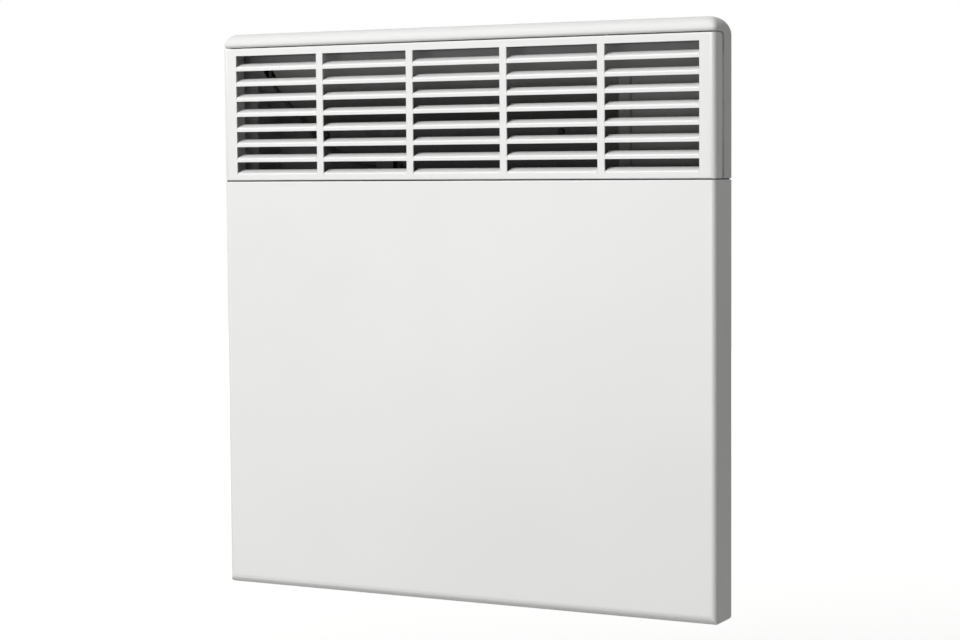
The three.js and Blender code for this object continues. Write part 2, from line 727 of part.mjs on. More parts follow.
// Drawn steel pan: back, four walls, a flange that the panel grips and a shelf under the hood.
function rearPan() {
  const walls = (inset) => outline([[-panHalf + inset, panBottom + inset, panCorner - inset],
    [panHalf - inset, panBottom + inset, panCorner - inset],
    [panHalf - inset, panTop - inset], [-panHalf + inset, panTop - inset]]);
  const tray = prism(walls(0), 'y', flangeFront, panBack);
  const flange = block([-flangeHalf, flangeHalf], [flangeFront, flangeBack],
    [bottom + heelRadius + fit, panTop]);
  const shelf = block([-panHalf, panHalf], [shelfFront, flangeBack], [panCeiling, panTop]);
  const hollow = prism(walls(panSheet), 'y', shelfFront - cutDepth, panFloor);
  const tools = hookPlaces().map(([x, z]) => {
    const slotTop = z + hookNeck + fit;
    return block([x - slotWidth / 2, x + slotWidth / 2],
      [panFloor - cutDepth, panBack + cutDepth], [slotTop - slotHeight, slotTop]);
  });
  tools.push(...inletSlots([panInletMargin - panInner, partitionX - panInletMargin], panInletCount,
    [flangeBack + inletEdge, panFloor - inletEdge], panInletRows, panBottom));
  tools.push(prism(fasciaOpening(fit), 'z', panTop - cutDepth, panTop + cutDepth, 2));
  tools.push(rod(grommetNeck + fit, 'y', [grommetX, panFloor - cutDepth, grommetHeight], cutDepth * 3));
  tools.push(rod(holderRadius + fit, 'z', [sensorX, sensorY, panBottom - cutDepth], cutDepth * 3));
  const through = (x, z) => rod(screwHole, 'y', [x, panFloor - cutDepth, z], cutDepth * 3, 8);
  tools.push(...backScrewPlaces().map(([x, z]) => through(x, z)));
  tools.push(...[-grilleScrewX, grilleScrewX]
    .map((x) => rod(screwHole, 'z', [x, grilleScrewY, panTop - cutDepth], cutDepth * 2, 8)));
  tools.push(...[-hoodBossX, hoodBossX]
    .map((x) => rod(screwHole, 'z', [x, hoodBossY, panTop - cutDepth], cutDepth * 2, 8)));
  const flangeHole = (x, z) => rod(screwHole, 'y', [x, flangeFront - cutDepth, z], cutDepth * 2, 8);
  tools.push(...panelScrewPlaces().map(([x, z]) => flangeHole(x, z)));
  tools.push(flangeHole(shieldScrewLeftX, shieldScrewHeight));
  return piece('rear_pan', cut(join(tray, flange, shelf), hollow, ...tools), galvanised);
}

// Every screw that goes through the pan's back wall.
function backScrewPlaces() {
  return [
    ...deflectorScrewXs.map((x) => [x, deflectorScrewHeight]),
    ...hangerScrewHeights.map((z) => [hangerScrewX, z]),
    ...housingScrewHeights.map((z) => [housingScrewX, z]),
    [grommetX - clampScrewOffset, clampHeight],
    [grommetX + clampScrewOffset, clampHeight],
    [earthScrewX, earthScrewHeight],
  ];
}

// Round-ended outline; the radius stays just short of half its width.
function stadium(x, z, width, height) {
  const roundShare = 0.998;
  const radius = Math.min(width, height) * roundShare / 2;
  const [w, h] = [width / 2, height / 2];
  return outline([[x - w, z - h, radius], [x + w, z - h, radius],
    [x + w, z + h, radius], [x - w, z + h, radius]]);
}

// Pressed wall bracket: two hat-section rails, three straps and four lanced hooks.
function wallBracket() {
  const web = bracketFront + bracketSheet;
  const half = railWidth / 2 - bracketSheet;
  const rail = (x) => prism(foldedSheet([[x + half + railFoot, 0], [x + half, 0], [x + half, web],
    [x - half, web], [x - half, 0], [x - half - railFoot, 0]], bracketSheet, railBend), 'z',
  -bracketTop, bracketTop, 2);
  const strapHalf = railX - half - railBend - bracketSheet;
  const strap = (low, high) => block([-strapHalf, strapHalf], [-bracketSheet, 0], [low, high]);
  const round = hookThickness / 3;
  const hooks = hookPlaces().map(([x, z]) => {
    const [neck, lip] = [z + hookNeck, z + hookNeck + hookLip];
    return prism(outline([[web, z], [hookFront, z, hookNeck / 2], [hookFront, lip, round],
      [hookBack, lip, round], [hookBack, neck], [web, neck]]), 'x', x - hookWidth / 2, x + hookWidth / 2, 1);
  });
  const windows = hookPlaces().map(([x, z]) => block([x - hookWidth / 2, x + hookWidth / 2],
    [bracketFront - cutDepth, web + cutDepth], [z + hookNeck, z + hookNeck + hookWindow]));
  const footX = railX + half + railFoot / 2 + railBend / 2;
  const footZ = bracketTop - wallSlotInset;
  const slot = (shape) => prism(shape, 'y', -bracketSheet - cutDepth, cutDepth, 1);
  const slots = [-footX, footX].flatMap((x) => [-footZ, footZ]
    .map((z) => slot(stadium(x, z, wallSlotWidth, wallSlotLength))));
  slots.push(...[-strapSlotX, strapSlotX].map((x) => slot(stadium(x, 0, wallSlotLength, wallSlotWidth))));
  const rails = join(cut(join(rail(-railX), rail(railX)), ...windows), ...hooks);
  const body = join(rails, strap(-centreStrap / 2, centreStrap / 2),
    strap(bracketTop - endStrap, bracketTop), strap(-bracketTop, endStrap - bracketTop));
  return piece('wall_bracket', cut(body, ...slots), galvanised);
}

// ---------------------------------------------------------------- air path

// Sloping deflector: foot on the back wall, 45 degree slope, upright and a tongue under the shelf.
function airDeflector() {
  const section = foldedSheet([[slopeHead + deflectorTongue, tongueSeat], [slopeHead, tongueSeat],
    [slopeHead, slopeTop], [slopeFoot, deflectorStart],
    [slopeFoot, deflectorStart - deflectorFoot]].reverse(), liningSheet, deflectorBend);
  const end = panInner - fit;
  const sheet = prism(section, 'x', -end, end, 2);
  const holes = deflectorScrewXs
    .map((x) => rod(screwHole, 'y', [x, slopeFoot - cutDepth, deflectorScrewHeight], cutDepth * 2, 8));
  const bossHoles = [-hoodBossX, hoodBossX]
    .map((x) => rod(screwHole, 'z', [x, hoodBossY, tongueSeat - cutDepth], cutDepth * 2, 8));
  const { hole } = upperWirePlan();
  return piece('air_deflector', cut(sheet, ...holes, ...bossHoles, hole), galvanised);
}

// Heat shield: a hat-section sheet between the element and the front panel.
function heatShield() {
  const face = front + shieldSetBack;
  const left = -panInner + shieldEdge;
  const right = partitionX - shieldEdge;
  const footLeft = -(halfWidth - panelReturn) - panSheet;
  const footRight = coverLeft - fit * 2;
  const section = foldedSheet([[footRight, coverSeat], [right, coverSeat], [right, face],
    [left, face], [left, liningSeat], [footLeft, liningSeat]], liningSheet, 1);
  const sheet = prism(section, 'z', shieldBottom, shieldTop, 2);
  const hole = (x) => rod(screwHole, 'y', [x, coverSeat - cutDepth, shieldScrewHeight], cutDepth * 2, 8);
  return piece('heat_shield', cut(sheet, hole(shieldScrewLeftX), hole(shieldScrewRightX)), galvanised);
}

// What lies above the underside of the deflector's slope and in front of its foot, with a gap.
function aboveDeflector() {
  const gap = fit * 2;
  const low = deflectorStart - liningSheet * Math.SQRT2 - gap;
  const footFace = slopeFoot - liningSheet - gap;
  const footEnd = deflectorStart - deflectorFoot - gap;
  const far = slopeFoot - front;
  return prism(outline([[footFace, low + slopeFoot - footFace], [slopeFoot - far, low + far],
    [slopeFoot - far, top * 2], [panBack, top * 2], [panBack, footEnd], [footFace, footEnd]]),
  'x', 0, halfWidth);
}

// Partition between the air duct and the electrics: foot, wall and front flange in one folding.
function rightPartition() {
  const section = foldedSheet([[partitionX + partitionFlange, liningSeat], [partitionX, liningSeat],
    [partitionX, slopeFoot], [partitionX - partitionFoot, slopeFoot]], liningSheet, 1);
  const wall = prism(section, 'z', partitionBottom, coverTop, 2);
  const bore = rod(spoolNeck + fit, 'x', [partitionX - cutDepth, elementY, elementHeight], cutDepth * 2);
  const hole = rod(screwHole, 'y', [shieldScrewRightX, partitionSeat - cutDepth, shieldScrewHeight],
    cutDepth * 2, 8);
  return piece('right_partition', cut(wall, aboveDeflector(), bore, hole), galvanised);
}

// Cover over the electrics, with a lip along its left edge.
function controlCover() {
  const seat = flangeFront - fit;
  const joggle = panInner;
  const section = foldedSheet([[panHalf + coverOverlap, seat], [joggle + (seat - coverSeat), seat],
    [joggle, coverSeat], [coverLeft, coverSeat], [coverLeft, coverSeat - coverLip]], liningSheet, fit);
  const sheet = prism(section, 'z', partitionBottom, coverTop, 1);
  return piece('control_cover', sheet, galvanised);
}

// ---------------------------------------------------------------- heating element

// Extruded aluminium X with finlets on each arm, pressed round the tubular core.
function elementFins() {
  const length = finRight - finLeft;
  const bar = (width, height, u, v, angle) => {
    const geometry = new THREE.BoxGeometry(length, width, height);
    geometry.translate(0, u, v);
    geometry.rotateX(angle);
    geometry.translate((finLeft + finRight) / 2, elementY, elementHeight);
    return solidOf(geometry);
  };
  const hub = rod(finHub, 'x', [finLeft, elementY, elementHeight], length, 20);
  const bars = [];
  for (const angle of [Math.PI / 4, -Math.PI / 4]) {
    bars.push(bar(finArm * 2, finThickness, 0, 0, angle));
    for (const side of [-1, 1]) {
      for (let i = 1; i <= finletCount; i += 1) {
        const place = side * (finHub + i * finletSpacing - finThickness);
        bars.push(bar(finThickness, finletLength, place, 0, angle));
      }
    }
  }
  const bore = rod(coreRadius + fit, 'x', [finLeft - cutDepth, elementY, elementHeight],
    length + cutDepth * 2);
  return piece('element_fins', cut(join(hub, ...bars), bore), aluminium);
}

function elementCore() {
  const length = coreRight - coreLeft;
  const core = turned([[0, 0], [coreRadius, 0], [coreRadius, length], [0, length]]);
  const node = mesh('element_core', aim(core, 'x'), zincPlate);
  node.position.set(coreLeft, elementY, elementHeight);
  return node;
}

// Ceramic spool that insulates an end of the core in its sheet.
function elementSpool(name, x) {
  const half = spoolLength / 2;
  const waist = liningSheet / 2 + fit;
  const bore = coreRadius + fit;
  const profile = [[bore, -half], [spoolRadius, -half], [spoolRadius, -waist], [spoolNeck, -waist],
    [spoolNeck, waist], [spoolRadius, waist], [spoolRadius, half], [bore, half], [bore, -half]];
  const node = mesh(name, aim(turned(profile, 16), 'x'), ceramic);
  node.position.set(x, elementY, elementHeight);
  return node;
}

// Hanger for the left end: foot on the pan, plate with the spool's hole, stiffening lip.
function elementHanger() {
  const edge = hangerX + liningSheet / 2;
  const section = foldedSheet([[edge - hangerFoot, slopeFoot], [edge, slopeFoot],
    [edge, slopeFoot - hangerReach], [edge + hangerLip, slopeFoot - hangerReach]].reverse(), liningSheet, 1);
  const plate = prism(section, 'z', elementHeight - hangerHeight / 2, elementHeight + hangerHeight / 2, 2);
  const bore = rod(spoolNeck + fit, 'x', [hangerX - cutDepth, elementY, elementHeight], cutDepth * 2);
  const holes = hangerScrewHeights
    .map((z) => rod(screwHole, 'y', [hangerScrewX, slopeFoot - cutDepth, z], cutDepth * 2, 8));
  return piece('element_hanger', cut(plate, bore, ...holes), galvanised);
}

// Stepped terminal pin at an end of the core; side is -1 at the left and 1 at the right.
function elementTerminal(name, x, side) {
  const pin = turned([[0, 0], [terminalCollar, 0], [terminalCollar, terminalLength / 3],
    [terminalRadius, terminalLength / 3], [terminalRadius, terminalLength], [0, terminalLength]], 12);
  const node = mesh(name, aim(pin, 'x'), brass);
  node.position.set(x + side * fit, elementY, elementHeight);
  if (side < 0) node.rotation.z = Math.PI;
  return node;
}

// ---------------------------------------------------------------- cut-out and wires

// Snap-disc cut-out on the back wall: flange, cap and a stud for each lead.
function thermalCutout() {
  const seat = panFloor - fit;
  const disc = rod(cutoutRadius, 'y', [cutoutX, seat - cutoutDepth, cutoutHeight], cutoutDepth, 20);
  const plate = prism(stadium(cutoutX, cutoutHeight, cutoutFlange * 2.4, cutoutFlange), 'y',
    seat - liningSheet, seat, 2);
  return piece('thermal_cutout', join(disc, plate), blackPlastic);
}

// Point on the chamber side of the slope at a depth behind the front, lifted off by a distance.
function onSlope(x, depth, lift) {
  const y = front + depth;
  const z = deflectorStart + slopeFoot - y;
  const off = (liningSheet + lift) / Math.SQRT2;
  return [x, y - off, z - off];
}

// Route of the lead from the cut-out up the slope and over it to the mode switch, and the hole by
// which it leaves the duct.
function upperWirePlan() {
  const bend = wireBend;
  const lift = fit + wireRadius;
  const wallLine = slopeFoot - liningSheet - lift;
  const holeX = wireHoleInset - panInner;
  const holeDepth = deflectorSetBack + wireHoleBack;
  const [hx, hy, hz] = onSlope(holeX, holeDepth, 0);
  const startX = cutoutX - cutoutRadius - wireRadius;
  const climb = (share) => [lerp(startX, hx + bend * 2, share), wallLine - share * 2,
    lerp(cutoutHeight, deflectorStart - bend, share * share)];
  const along = (share, shift) => onSlope(hx + shift, lerp(holeDepth, slopeFoot - front, share), lift);
  const runY = hy + bend * 2;
  const runZ = panCeiling - bend * 0.75;
  const switchFoot = controlSeat - switchHeight;
  const route = [
    [startX, panFloor - cutoutDepth / 2 - fit, cutoutHeight],
    climb(0.3),
    climb(0.7),
    climb(1),
    along(0.68, bend * 0.7),
    along(0.43, bend / 8),
    along(0.2, -bend / 8),
    [hx, hy + bend / 16, hz - bend * 0.3],
    [hx, hy + bend * 0.9, hz + bend / 2],
    [hx + bend * 1.5, hy + bend * 1.75, hz + bend * 0.9],
    [hx + bend * 7, runY, runZ],
    [fasciaLeft - bend * 8, runY, runZ],
    [fasciaLeft - bend * 2, runY, runZ - bend / 2],
    [switchX - bend * 1.5, (runY + controlY) / 2, switchFoot - bend],
    [switchX, controlY, switchFoot - bend * 0.75],
    [switchX, controlY, switchFoot - fit],
  ];
  const hole = block(centredOn(hx, wireHoleSize), centredOn(hy, wireHoleSize), centredOn(hz, wireHoleSize));
  return { route, hole };
}

function upperWire() {
  return mesh('cutout_lead_upper', wire(upperWirePlan().route, wireRadius, 50), blackSleeve);
}

// Lead from the cut-out down the pan's left wall to the element's terminal.
function lowerWire() {
  const bend = wireBend;
  const line = panFloor - fit - wireRadius;
  const sideX = wireSideGap - panInner;
  const pinX = coreLeft - terminalLength - fit * 2 - wireRadius;
  const route = [
    [cutoutX + cutoutRadius + wireRadius, panFloor - cutoutDepth / 2 - fit, cutoutHeight],
    [cutoutX + cutoutRadius + bend, line, cutoutHeight - bend],
    [cutoutX, line, cutoutHeight - bend * 2],
    [lerp(cutoutX, sideX, 0.4), line, cutoutHeight - bend * 2.6],
    [sideX + bend, line, cutoutHeight - bend * 6.5],
    [sideX, line, (elementHeight + cutoutHeight) / 2],
    [sideX, line - bend / 4, elementHeight + bend * 5],
    [sideX, elementY + bend * 1.5, elementHeight + bend * 1.5],
    [pinX, elementY, elementHeight + bend * 0.75],
    [pinX, elementY, elementHeight - wireRadius],
  ];
  return mesh('cutout_lead_lower', wire(route, wireRadius, 32), blackSleeve);
}

// Lead from the element's right terminal up into the housing.
function feedWire() {
  const bend = wireBend;
  const x = coreRight + terminalLength + fit * 2 + wireRadius;
  const entryX = x + bend * 0.6;
  const entryY = boardFront - bend * 0.6;
  const route = [
    [x, elementY, elementHeight - wireRadius * 2],
    [x, elementY, elementHeight + bend],
    [x + bend / 2, elementY - bend / 4, housingBottom - bend * 0.75],
    [entryX, entryY, housingBottom - bend * 0.4],
    [entryX, entryY, housingBottom - fit],
  ];
  return mesh('element_feed_wire', wire(route, wireRadius, 12), blackSleeve);
}

// Lead from the terminal block to the screw that earths the pan.
function earthWire() {
  const bend = wireBend;
  const y = panFloor - blockDepth / 2;
  const wayZ = (blockTop + blockBottom) / 2;
  const tagY = panFloor - screwHeadHeight - fit - wireRadius * 2;
  const route = [
    [blockRight + wireRadius, y, wayZ],
    [blockRight + bend * 0.6, y, wayZ - bend * 0.4],
    [earthScrewX, y + bend * 0.4, blockBottom - bend],
    [earthScrewX, tagY, earthScrewHeight + bend * 0.4],
    [earthScrewX, tagY, earthScrewHeight - wireRadius],
  ];
  return mesh('earth_wire', wire(route, wireRadius, 12), earthSleeve);
}

// ---------------------------------------------------------------- controls on the ledge

// Moulded fascia: plate on the ledge, skirt through it, holes for bush, slider and pilot lamp.
function controlFascia() {
  const plate = prism(fasciaOpening(fasciaRim), 'z', fasciaSeat, fasciaTop, 2);
  const skirt = prism(fasciaOpening(0), 'z', fasciaSeat - fasciaSkirt, fasciaTop, 2);
  const hollow = prism(fasciaOpening(-fasciaWall), 'z', fasciaSeat - fasciaSkirt - cutDepth, fasciaSeat, 2);
  const hole = (radius, x, y, sides) => rod(
    radius + fit, 'z', [x, y, fasciaSeat - cutDepth], cutDepth * 2 + fasciaPlate, sides);
  const bush = hole(bushRadius, knobX, controlY, 20);
  const slot = block(sliderSpan(fit), centredOn(controlY, sliderStem + fit * 2),
    [fasciaSeat - cutDepth, fasciaTop + cutDepth]);
  const pilot = hole(pilotRadius, switchX, controlY + pilotOffset, 16);
  return piece('control_fascia', cut(join(plate, skirt), hollow, bush, slot, pilot), whitePlastic);
}

// Extent in x that the slider's stem sweeps, with a margin.
function sliderSpan(margin) {
  return [sliderX - sliderStem / 2 - margin, sliderX + sliderTravel + sliderStem / 2 + margin];
}

// Potentiometer body with the threaded bush that holds it to the fascia.
function potentiometer() {
  const body = rod(potRadius, 'z', [knobX, controlY, controlSeat - potDepth], potDepth, 24);
  const bush = rod(bushRadius, 'z', [knobX, controlY, controlSeat - fit], bushTop - controlSeat + fit, 20);
  const boreFoot = controlSeat - shaftDepth - fit;
  const bore = rod(shaftRadius + fit, 'z', [knobX, controlY, boreFoot], bushTop + cutDepth - boreFoot, 20);
  return piece('potentiometer', cut(join(body, bush), bore), greyPlastic);
}

function potentiometerShaft() {
  const length = shaftDepth + bushTop + shaftGrip - controlSeat;
  const shaft = turned([[0, 0], [shaftRadius, 0], [shaftRadius, length], [0, length]]);
  const node = mesh('potentiometer_shaft', aim(shaft, 'z'), whitePlastic);
  node.position.set(knobX, controlY, controlSeat - shaftDepth);
  return node;
}

// Fluted thermostat knob with a pointer rib, hollow over the bush and bored for the shaft.
function thermostatKnob() {
  const foot = fasciaTop + fit;
  const crown = foot + knobHeight;
  const edge = 1;
  const neck = knobRadius - knobTaper;
  const rim = knobRadius - knobTaper * 1.6;
  const profile = [[0, 0], [knobRadius, 0], [knobRadius, edge * 2], [neck, edge * 2.4],
    [rim, knobHeight - edge], [rim - edge, knobHeight - fit], [0, knobHeight - fit]];
  const body = solidOf(aim(turned(profile, 28), 'z').translate(knobX, controlY, foot));
  const flutes = Array.from({ length: knobFlutes }, (_, i) => {
    const angle = (i + 0.5) * 2 * Math.PI / knobFlutes;
    const place = [knobX + Math.cos(angle) * knobRadius, controlY + Math.sin(angle) * knobRadius];
    return rod(edge * 1.5, 'z', [...place, foot + edge * 2.4], knobHeight, 8);
  });
  const recess = rod(knobRecess, 'z', [knobX, controlY, foot - cutDepth], cutDepth + bushProud, 20);
  const boreFoot = foot - cutDepth;
  const boreLength = bushTop + shaftGrip + fit - boreFoot;
  const bore = rod(shaftRadius + fit, 'z', [knobX, controlY, boreFoot], boreLength, 20);
  const pointer = block(centredOn(knobX, edge), [controlY - knobRadius + knobTaper * 3, controlY],
    [crown - edge, crown]);
  return piece('thermostat_knob', cut(join(cut(body, ...flutes), pointer), recess, bore), whitePlastic);
}

// Slide switch under the fascia, with the channel in which the slider's stem runs.
function modeSwitch() {
  const [left, right] = sliderSpan(fit * 2);
  const body = block([left - switchMargin, right + switchMargin], centredOn(controlY, switchDepth),
    [controlSeat - switchHeight, controlSeat]);
  const channel = block([left, right], centredOn(controlY, sliderStem + fit * 4),
    [controlSeat - switchChannel, controlSeat + cutDepth]);
  return piece('mode_switch', cut(body, channel), blackPlastic);
}

// Slider: stem in the switch and a ridged cap above the fascia, at the left end of its travel.
function modeSlider() {
  const stemFoot = controlSeat - switchChannel + fit;
  const capFoot = fasciaTop + fit;
  const crown = capFoot + sliderCapHeight;
  const stem = block(centredOn(0, sliderStem), centredOn(0, sliderStem), [stemFoot, capFoot + fit]);
  const cap = prism(outline([
    [-sliderCapWidth / 2, -sliderCapDepth / 2, 1], [sliderCapWidth / 2, -sliderCapDepth / 2, 1],
    [sliderCapWidth / 2, sliderCapDepth / 2, 1], [-sliderCapWidth / 2, sliderCapDepth / 2, 1],
  ]), 'z', capFoot, crown, 2);
  const grooves = spread(sliderGrooves, sliderGroovePitch).map((x) => block(centredOn(x, sliderGrooveWidth),
    centredOn(0, sliderCapDepth * 2), [crown - sliderGrooveDepth, crown + cutDepth]));
  const node = piece('mode_slider', join(cut(cap, ...grooves), stem), blackPlastic);
  node.position.set(sliderX, controlY, 0);
  return node;
}

function pilotLight() {
  const foot = fasciaSeat - pilotLength / 2;
  const crown = fasciaTop + pilotProud - foot;
  const lens = turned([[0, 0], [pilotRadius, 0], [pilotRadius, crown - pilotProud],
    [pilotRadius * 0.8, crown - pilotProud * 0.4], [0, crown]], 14);
  const node = mesh('pilot_light', aim(lens, 'z'), amberLens);
  node.position.set(switchX, controlY + pilotOffset, foot);
  return node;
}

// ---------------------------------------------------------------- electrics

// Open tray with four posts for the circuit board.
function controlHousing() {
  const shell = block([housingLeft, housingRight], [housingBack - housingDepth, housingBack],
    [housingBottom, housingTop]);
  const hollow = block([housingLeft + housingWall, housingRight - housingWall],
    [housingBack - housingDepth - cutDepth, housingBack - housingWall],
    [housingBottom + housingWall, housingTop - housingWall]);
  const posts = [housingLeft + postInset, housingRight - postInset]
    .flatMap((x) => [housingBottom + postInset, housingTop - postInset].map((z) => rod(
      postRadius, 'y', [x, boardBack + fit, z], housingBack - fit - boardBack - fit, 12)));
  const holeFront = housingBack - housingWall - cutDepth;
  const holes = housingScrewHeights
    .map((z) => rod(screwHole, 'y', [housingScrewX, holeFront, z], cutDepth * 3, 8));
  return piece('control_housing', cut(join(cut(shell, hollow), ...posts), ...holes), greyPlastic);
}

function circuitBoard() {
  const inset = housingWall + boardMargin;
  const board = block([housingLeft + inset, housingRight - inset], [boardFront, boardBack],
    [housingBottom + inset, housingTop - inset]);
  return piece('circuit_board', board, laminate);
}

function powerRelay() {
  const [width, depth, height] = relaySize;
  const node = mesh('power_relay', new THREE.BoxGeometry(width, depth, height), blackPlastic);
  const [x, z] = relayPlace;
  node.position.set(housingLeft + x, boardFront - fit - depth / 2, housingBottom + z);
  return node;
}

function boardCapacitor() {
  const can = turned([[0, 0], [capacitorRadius, 0], [capacitorRadius, capacitorHeight - 1],
    [capacitorRadius - 1, capacitorHeight], [0, capacitorHeight]]);
  const node = mesh('board_capacitor', can, blackPlastic);
  const [x, z] = capacitorPlace;
  node.position.set(housingLeft + x, boardFront - fit, housingBottom + z);
  node.rotation.x = Math.PI;
  return node;
}

// Three-way terminal block on the back wall.
function terminalBlock() {
  const seat = panFloor - fit;
  const body = block([blockLeft, blockRight], [seat - blockDepth, seat], [blockBottom, blockTop]);
  const pitch = (blockRight - blockLeft) / blockWays;
  const ways = spread(blockWays, pitch).map((offset) => (blockLeft + blockRight) / 2 + offset);
  const face = seat - blockDepth;
  const middle = (blockBottom + blockTop) / 2;
  const wells = ways.map((x) => rod(pitch / 4, 'y', [x, face - cutDepth, middle], cutDepth * 2, 8));
  const entries = ways.map((x) => rod(pitch / 4, 'z', [x, face + pitch / 2, blockBottom - cutDepth],
    cutDepth * 2, 8));
  return piece('terminal_block', cut(body, ...wells, ...entries), whitePlastic);
}

// Rubber grommet where the supply cable would enter, gripping the edge of its hole.
function cableGrommet() {
  const half = panSheet / 2 + fit;
  const end = half + grommetLip;
  const shoulder = grommetRadius - grommetLip / 2;
  const profile = [[grommetBore, -end], [shoulder, -end], [grommetRadius, -half], [grommetNeck, -half],
    [grommetNeck, half], [grommetRadius, half], [shoulder, end], [grommetBore, end], [grommetBore, -end]];
  const node = mesh('cable_grommet', turned(profile, 16), blackSleeve);
  node.position.set(grommetX, (panBack + panFloor) / 2, grommetHeight);
  return node;
}

// Cord-grip bridge above the grommet, arched over the cable's path.
function cableClamp() {
  const seat = panFloor - fit;
  const bar = block(centredOn(grommetX, clampWidth), [seat - clampDepth, seat],
    centredOn(clampHeight, clampThick));
  const tunnel = rod(clampTunnel, 'z', [grommetX, seat, clampHeight - clampThick], clampThick * 2);
  const holes = [-clampScrewOffset, clampScrewOffset].map((x) => rod(
    screwHole, 'y', [grommetX + x, seat - clampDepth - cutDepth, clampHeight], clampDepth + cutDepth * 2, 8));
  return piece('cable_clamp', cut(bar, tunnel, ...holes), whitePlastic);
}

// Clip in the pan's floor that holds the room sensor in the incoming air.
function sensorHolder() {
  const bore = sensorRadius + fit;
  const under = panSheet + fit * 2;
  const profile = [[bore, -under - 1], [holderRadius, -under - 1], [holderRadius, fit], [holderFlange, fit],
    [holderFlange, fit + 1.4], [holderRadius, fit + 2], [holderRadius, holderAbove], [bore, holderAbove],
    [bore, -under - 1]];
  const node = mesh('sensor_holder', aim(turned(profile, 12), 'z'), whitePlastic);
  node.position.set(sensorX, sensorY, panBottom + panSheet);
  return node;
}

function roomSensor() {
  const tip = sensorRadius;
  const end = sensorLength;
  const probe = turned([[0, 0], [tip * 0.7, tip * 0.3], [tip, tip], [tip, end], [0, end]], 12);
  const node = mesh('room_sensor', aim(probe, 'z'), blackPlastic);
  node.position.set(sensorX, sensorY, panBottom + panSheet + holderAbove - sensorLength + fit);
  return node;
}

// ---------------------------------------------------------------- screws

// Pan-head screw: the head's seat is at the origin, the shank points along +Y before turning.
function screwGeometry(shank) {
  const crown = -screwHeadHeight;
  const profile = [[0, crown], [screwHead * 0.6, crown], [screwHead, crown * 0.4], [screwHead, 0],
    [screwRadius, 0], [screwRadius, shank], [0, shank]];
  return turned(profile, 8);
}

// Screw whose head sits a clearance off its seat, driven along (0, way, 0) or (0, 0, way).
function screw(name, [x, y, z], axis, way, shank) {
  const node = mesh(name, screwGeometry(shank), zincPlate);
  const off = -way * fit;
  node.position.set(x, y + (axis === 'y' ? off : 0), z + (axis === 'z' ? off : 0));
  if (axis === 'z') node.rotation.x = way > 0 ? Math.PI / 2 : -Math.PI / 2;
  if (axis === 'y' && way < 0) node.rotation.x = Math.PI;
  return node;
}

function screws() {
  const nodes = [];
  const add = (...args) => nodes.push(screw(...args));
  panelScrewPlaces().forEach(([x, z], i) => add(`panel_screw_${i + 1}`,
    [x, shellRear, z], 'y', -1, panelShank));
  [-1, 1].forEach((side) => {
    const end = side < 0 ? 'left' : 'right';
    add(`hood_screw_${end}`, [side * hoodBossX, hoodBossY, tongueSeat], 'z', 1, hoodShank);
    add(`grille_screw_${end}`, [side * grilleScrewX, grilleScrewY, panCeiling], 'z', 1, grilleShank);
    add(`clamp_screw_${end}`,
      [grommetX + side * clampScrewOffset, panFloor - fit - clampDepth, clampHeight], 'y', 1, clampShank);
  });
  deflectorScrewXs.forEach((x, i) => add(`deflector_screw_${i + 1}`,
    [x, slopeFoot - liningSheet, deflectorScrewHeight], 'y', 1, backShank));
  hangerScrewHeights.forEach((z, i) => add(`hanger_screw_${i + 1}`,
    [hangerScrewX, slopeFoot - liningSheet, z], 'y', 1, backShank));
  housingScrewHeights.forEach((z, i) => add(`housing_screw_${i + 1}`,
    [housingScrewX, housingBack - housingWall, z], 'y', 1, housingShank));
  add('shield_screw_left',
    [shieldScrewLeftX, liningSeat - liningSheet, shieldScrewHeight], 'y', 1, flangeShank);
  add('shield_screw_right',
    [shieldScrewRightX, coverSeat - liningSheet, shieldScrewHeight], 'y', 1, backShank);
  add('earth_screw', [earthScrewX, panFloor, earthScrewHeight], 'y', 1, earthShank);
  return nodes;
}

// ---------------------------------------------------------------- assembly

const heater = new THREE.Group();

const casing = new THREE.Group();
casing.add(rearPan(), frontPanel(), outletGrille(), topHood());
casing.add(airDeflector(), heatShield(), rightPartition(), controlCover());
casing.add(elementFins(), elementCore(), elementHanger());
casing.add(elementSpool('element_spool_left', hangerX), elementSpool('element_spool_right', spoolRightX));
casing.add(elementTerminal('element_terminal_left', coreLeft, -1));
casing.add(elementTerminal('element_terminal_right', coreRight, 1));
casing.add(thermalCutout(), upperWire(), lowerWire(), feedWire(), earthWire());
casing.add(controlFascia(), potentiometer(), modeSwitch(), pilotLight());
casing.add(controlHousing(), circuitBoard(), powerRelay(), boardCapacitor());
casing.add(terminalBlock(), cableGrommet(), cableClamp(), sensorHolder(), roomSensor());
casing.add(...screws());

const knob = new THREE.Group();
knob.add(thermostatKnob(), potentiometerShaft());
casing.add(knob, modeSlider());

heater.add(wallBracket(), casing);

export default heater;
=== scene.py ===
import math
import bmesh
import bpy
from mathutils import Matrix, Vector


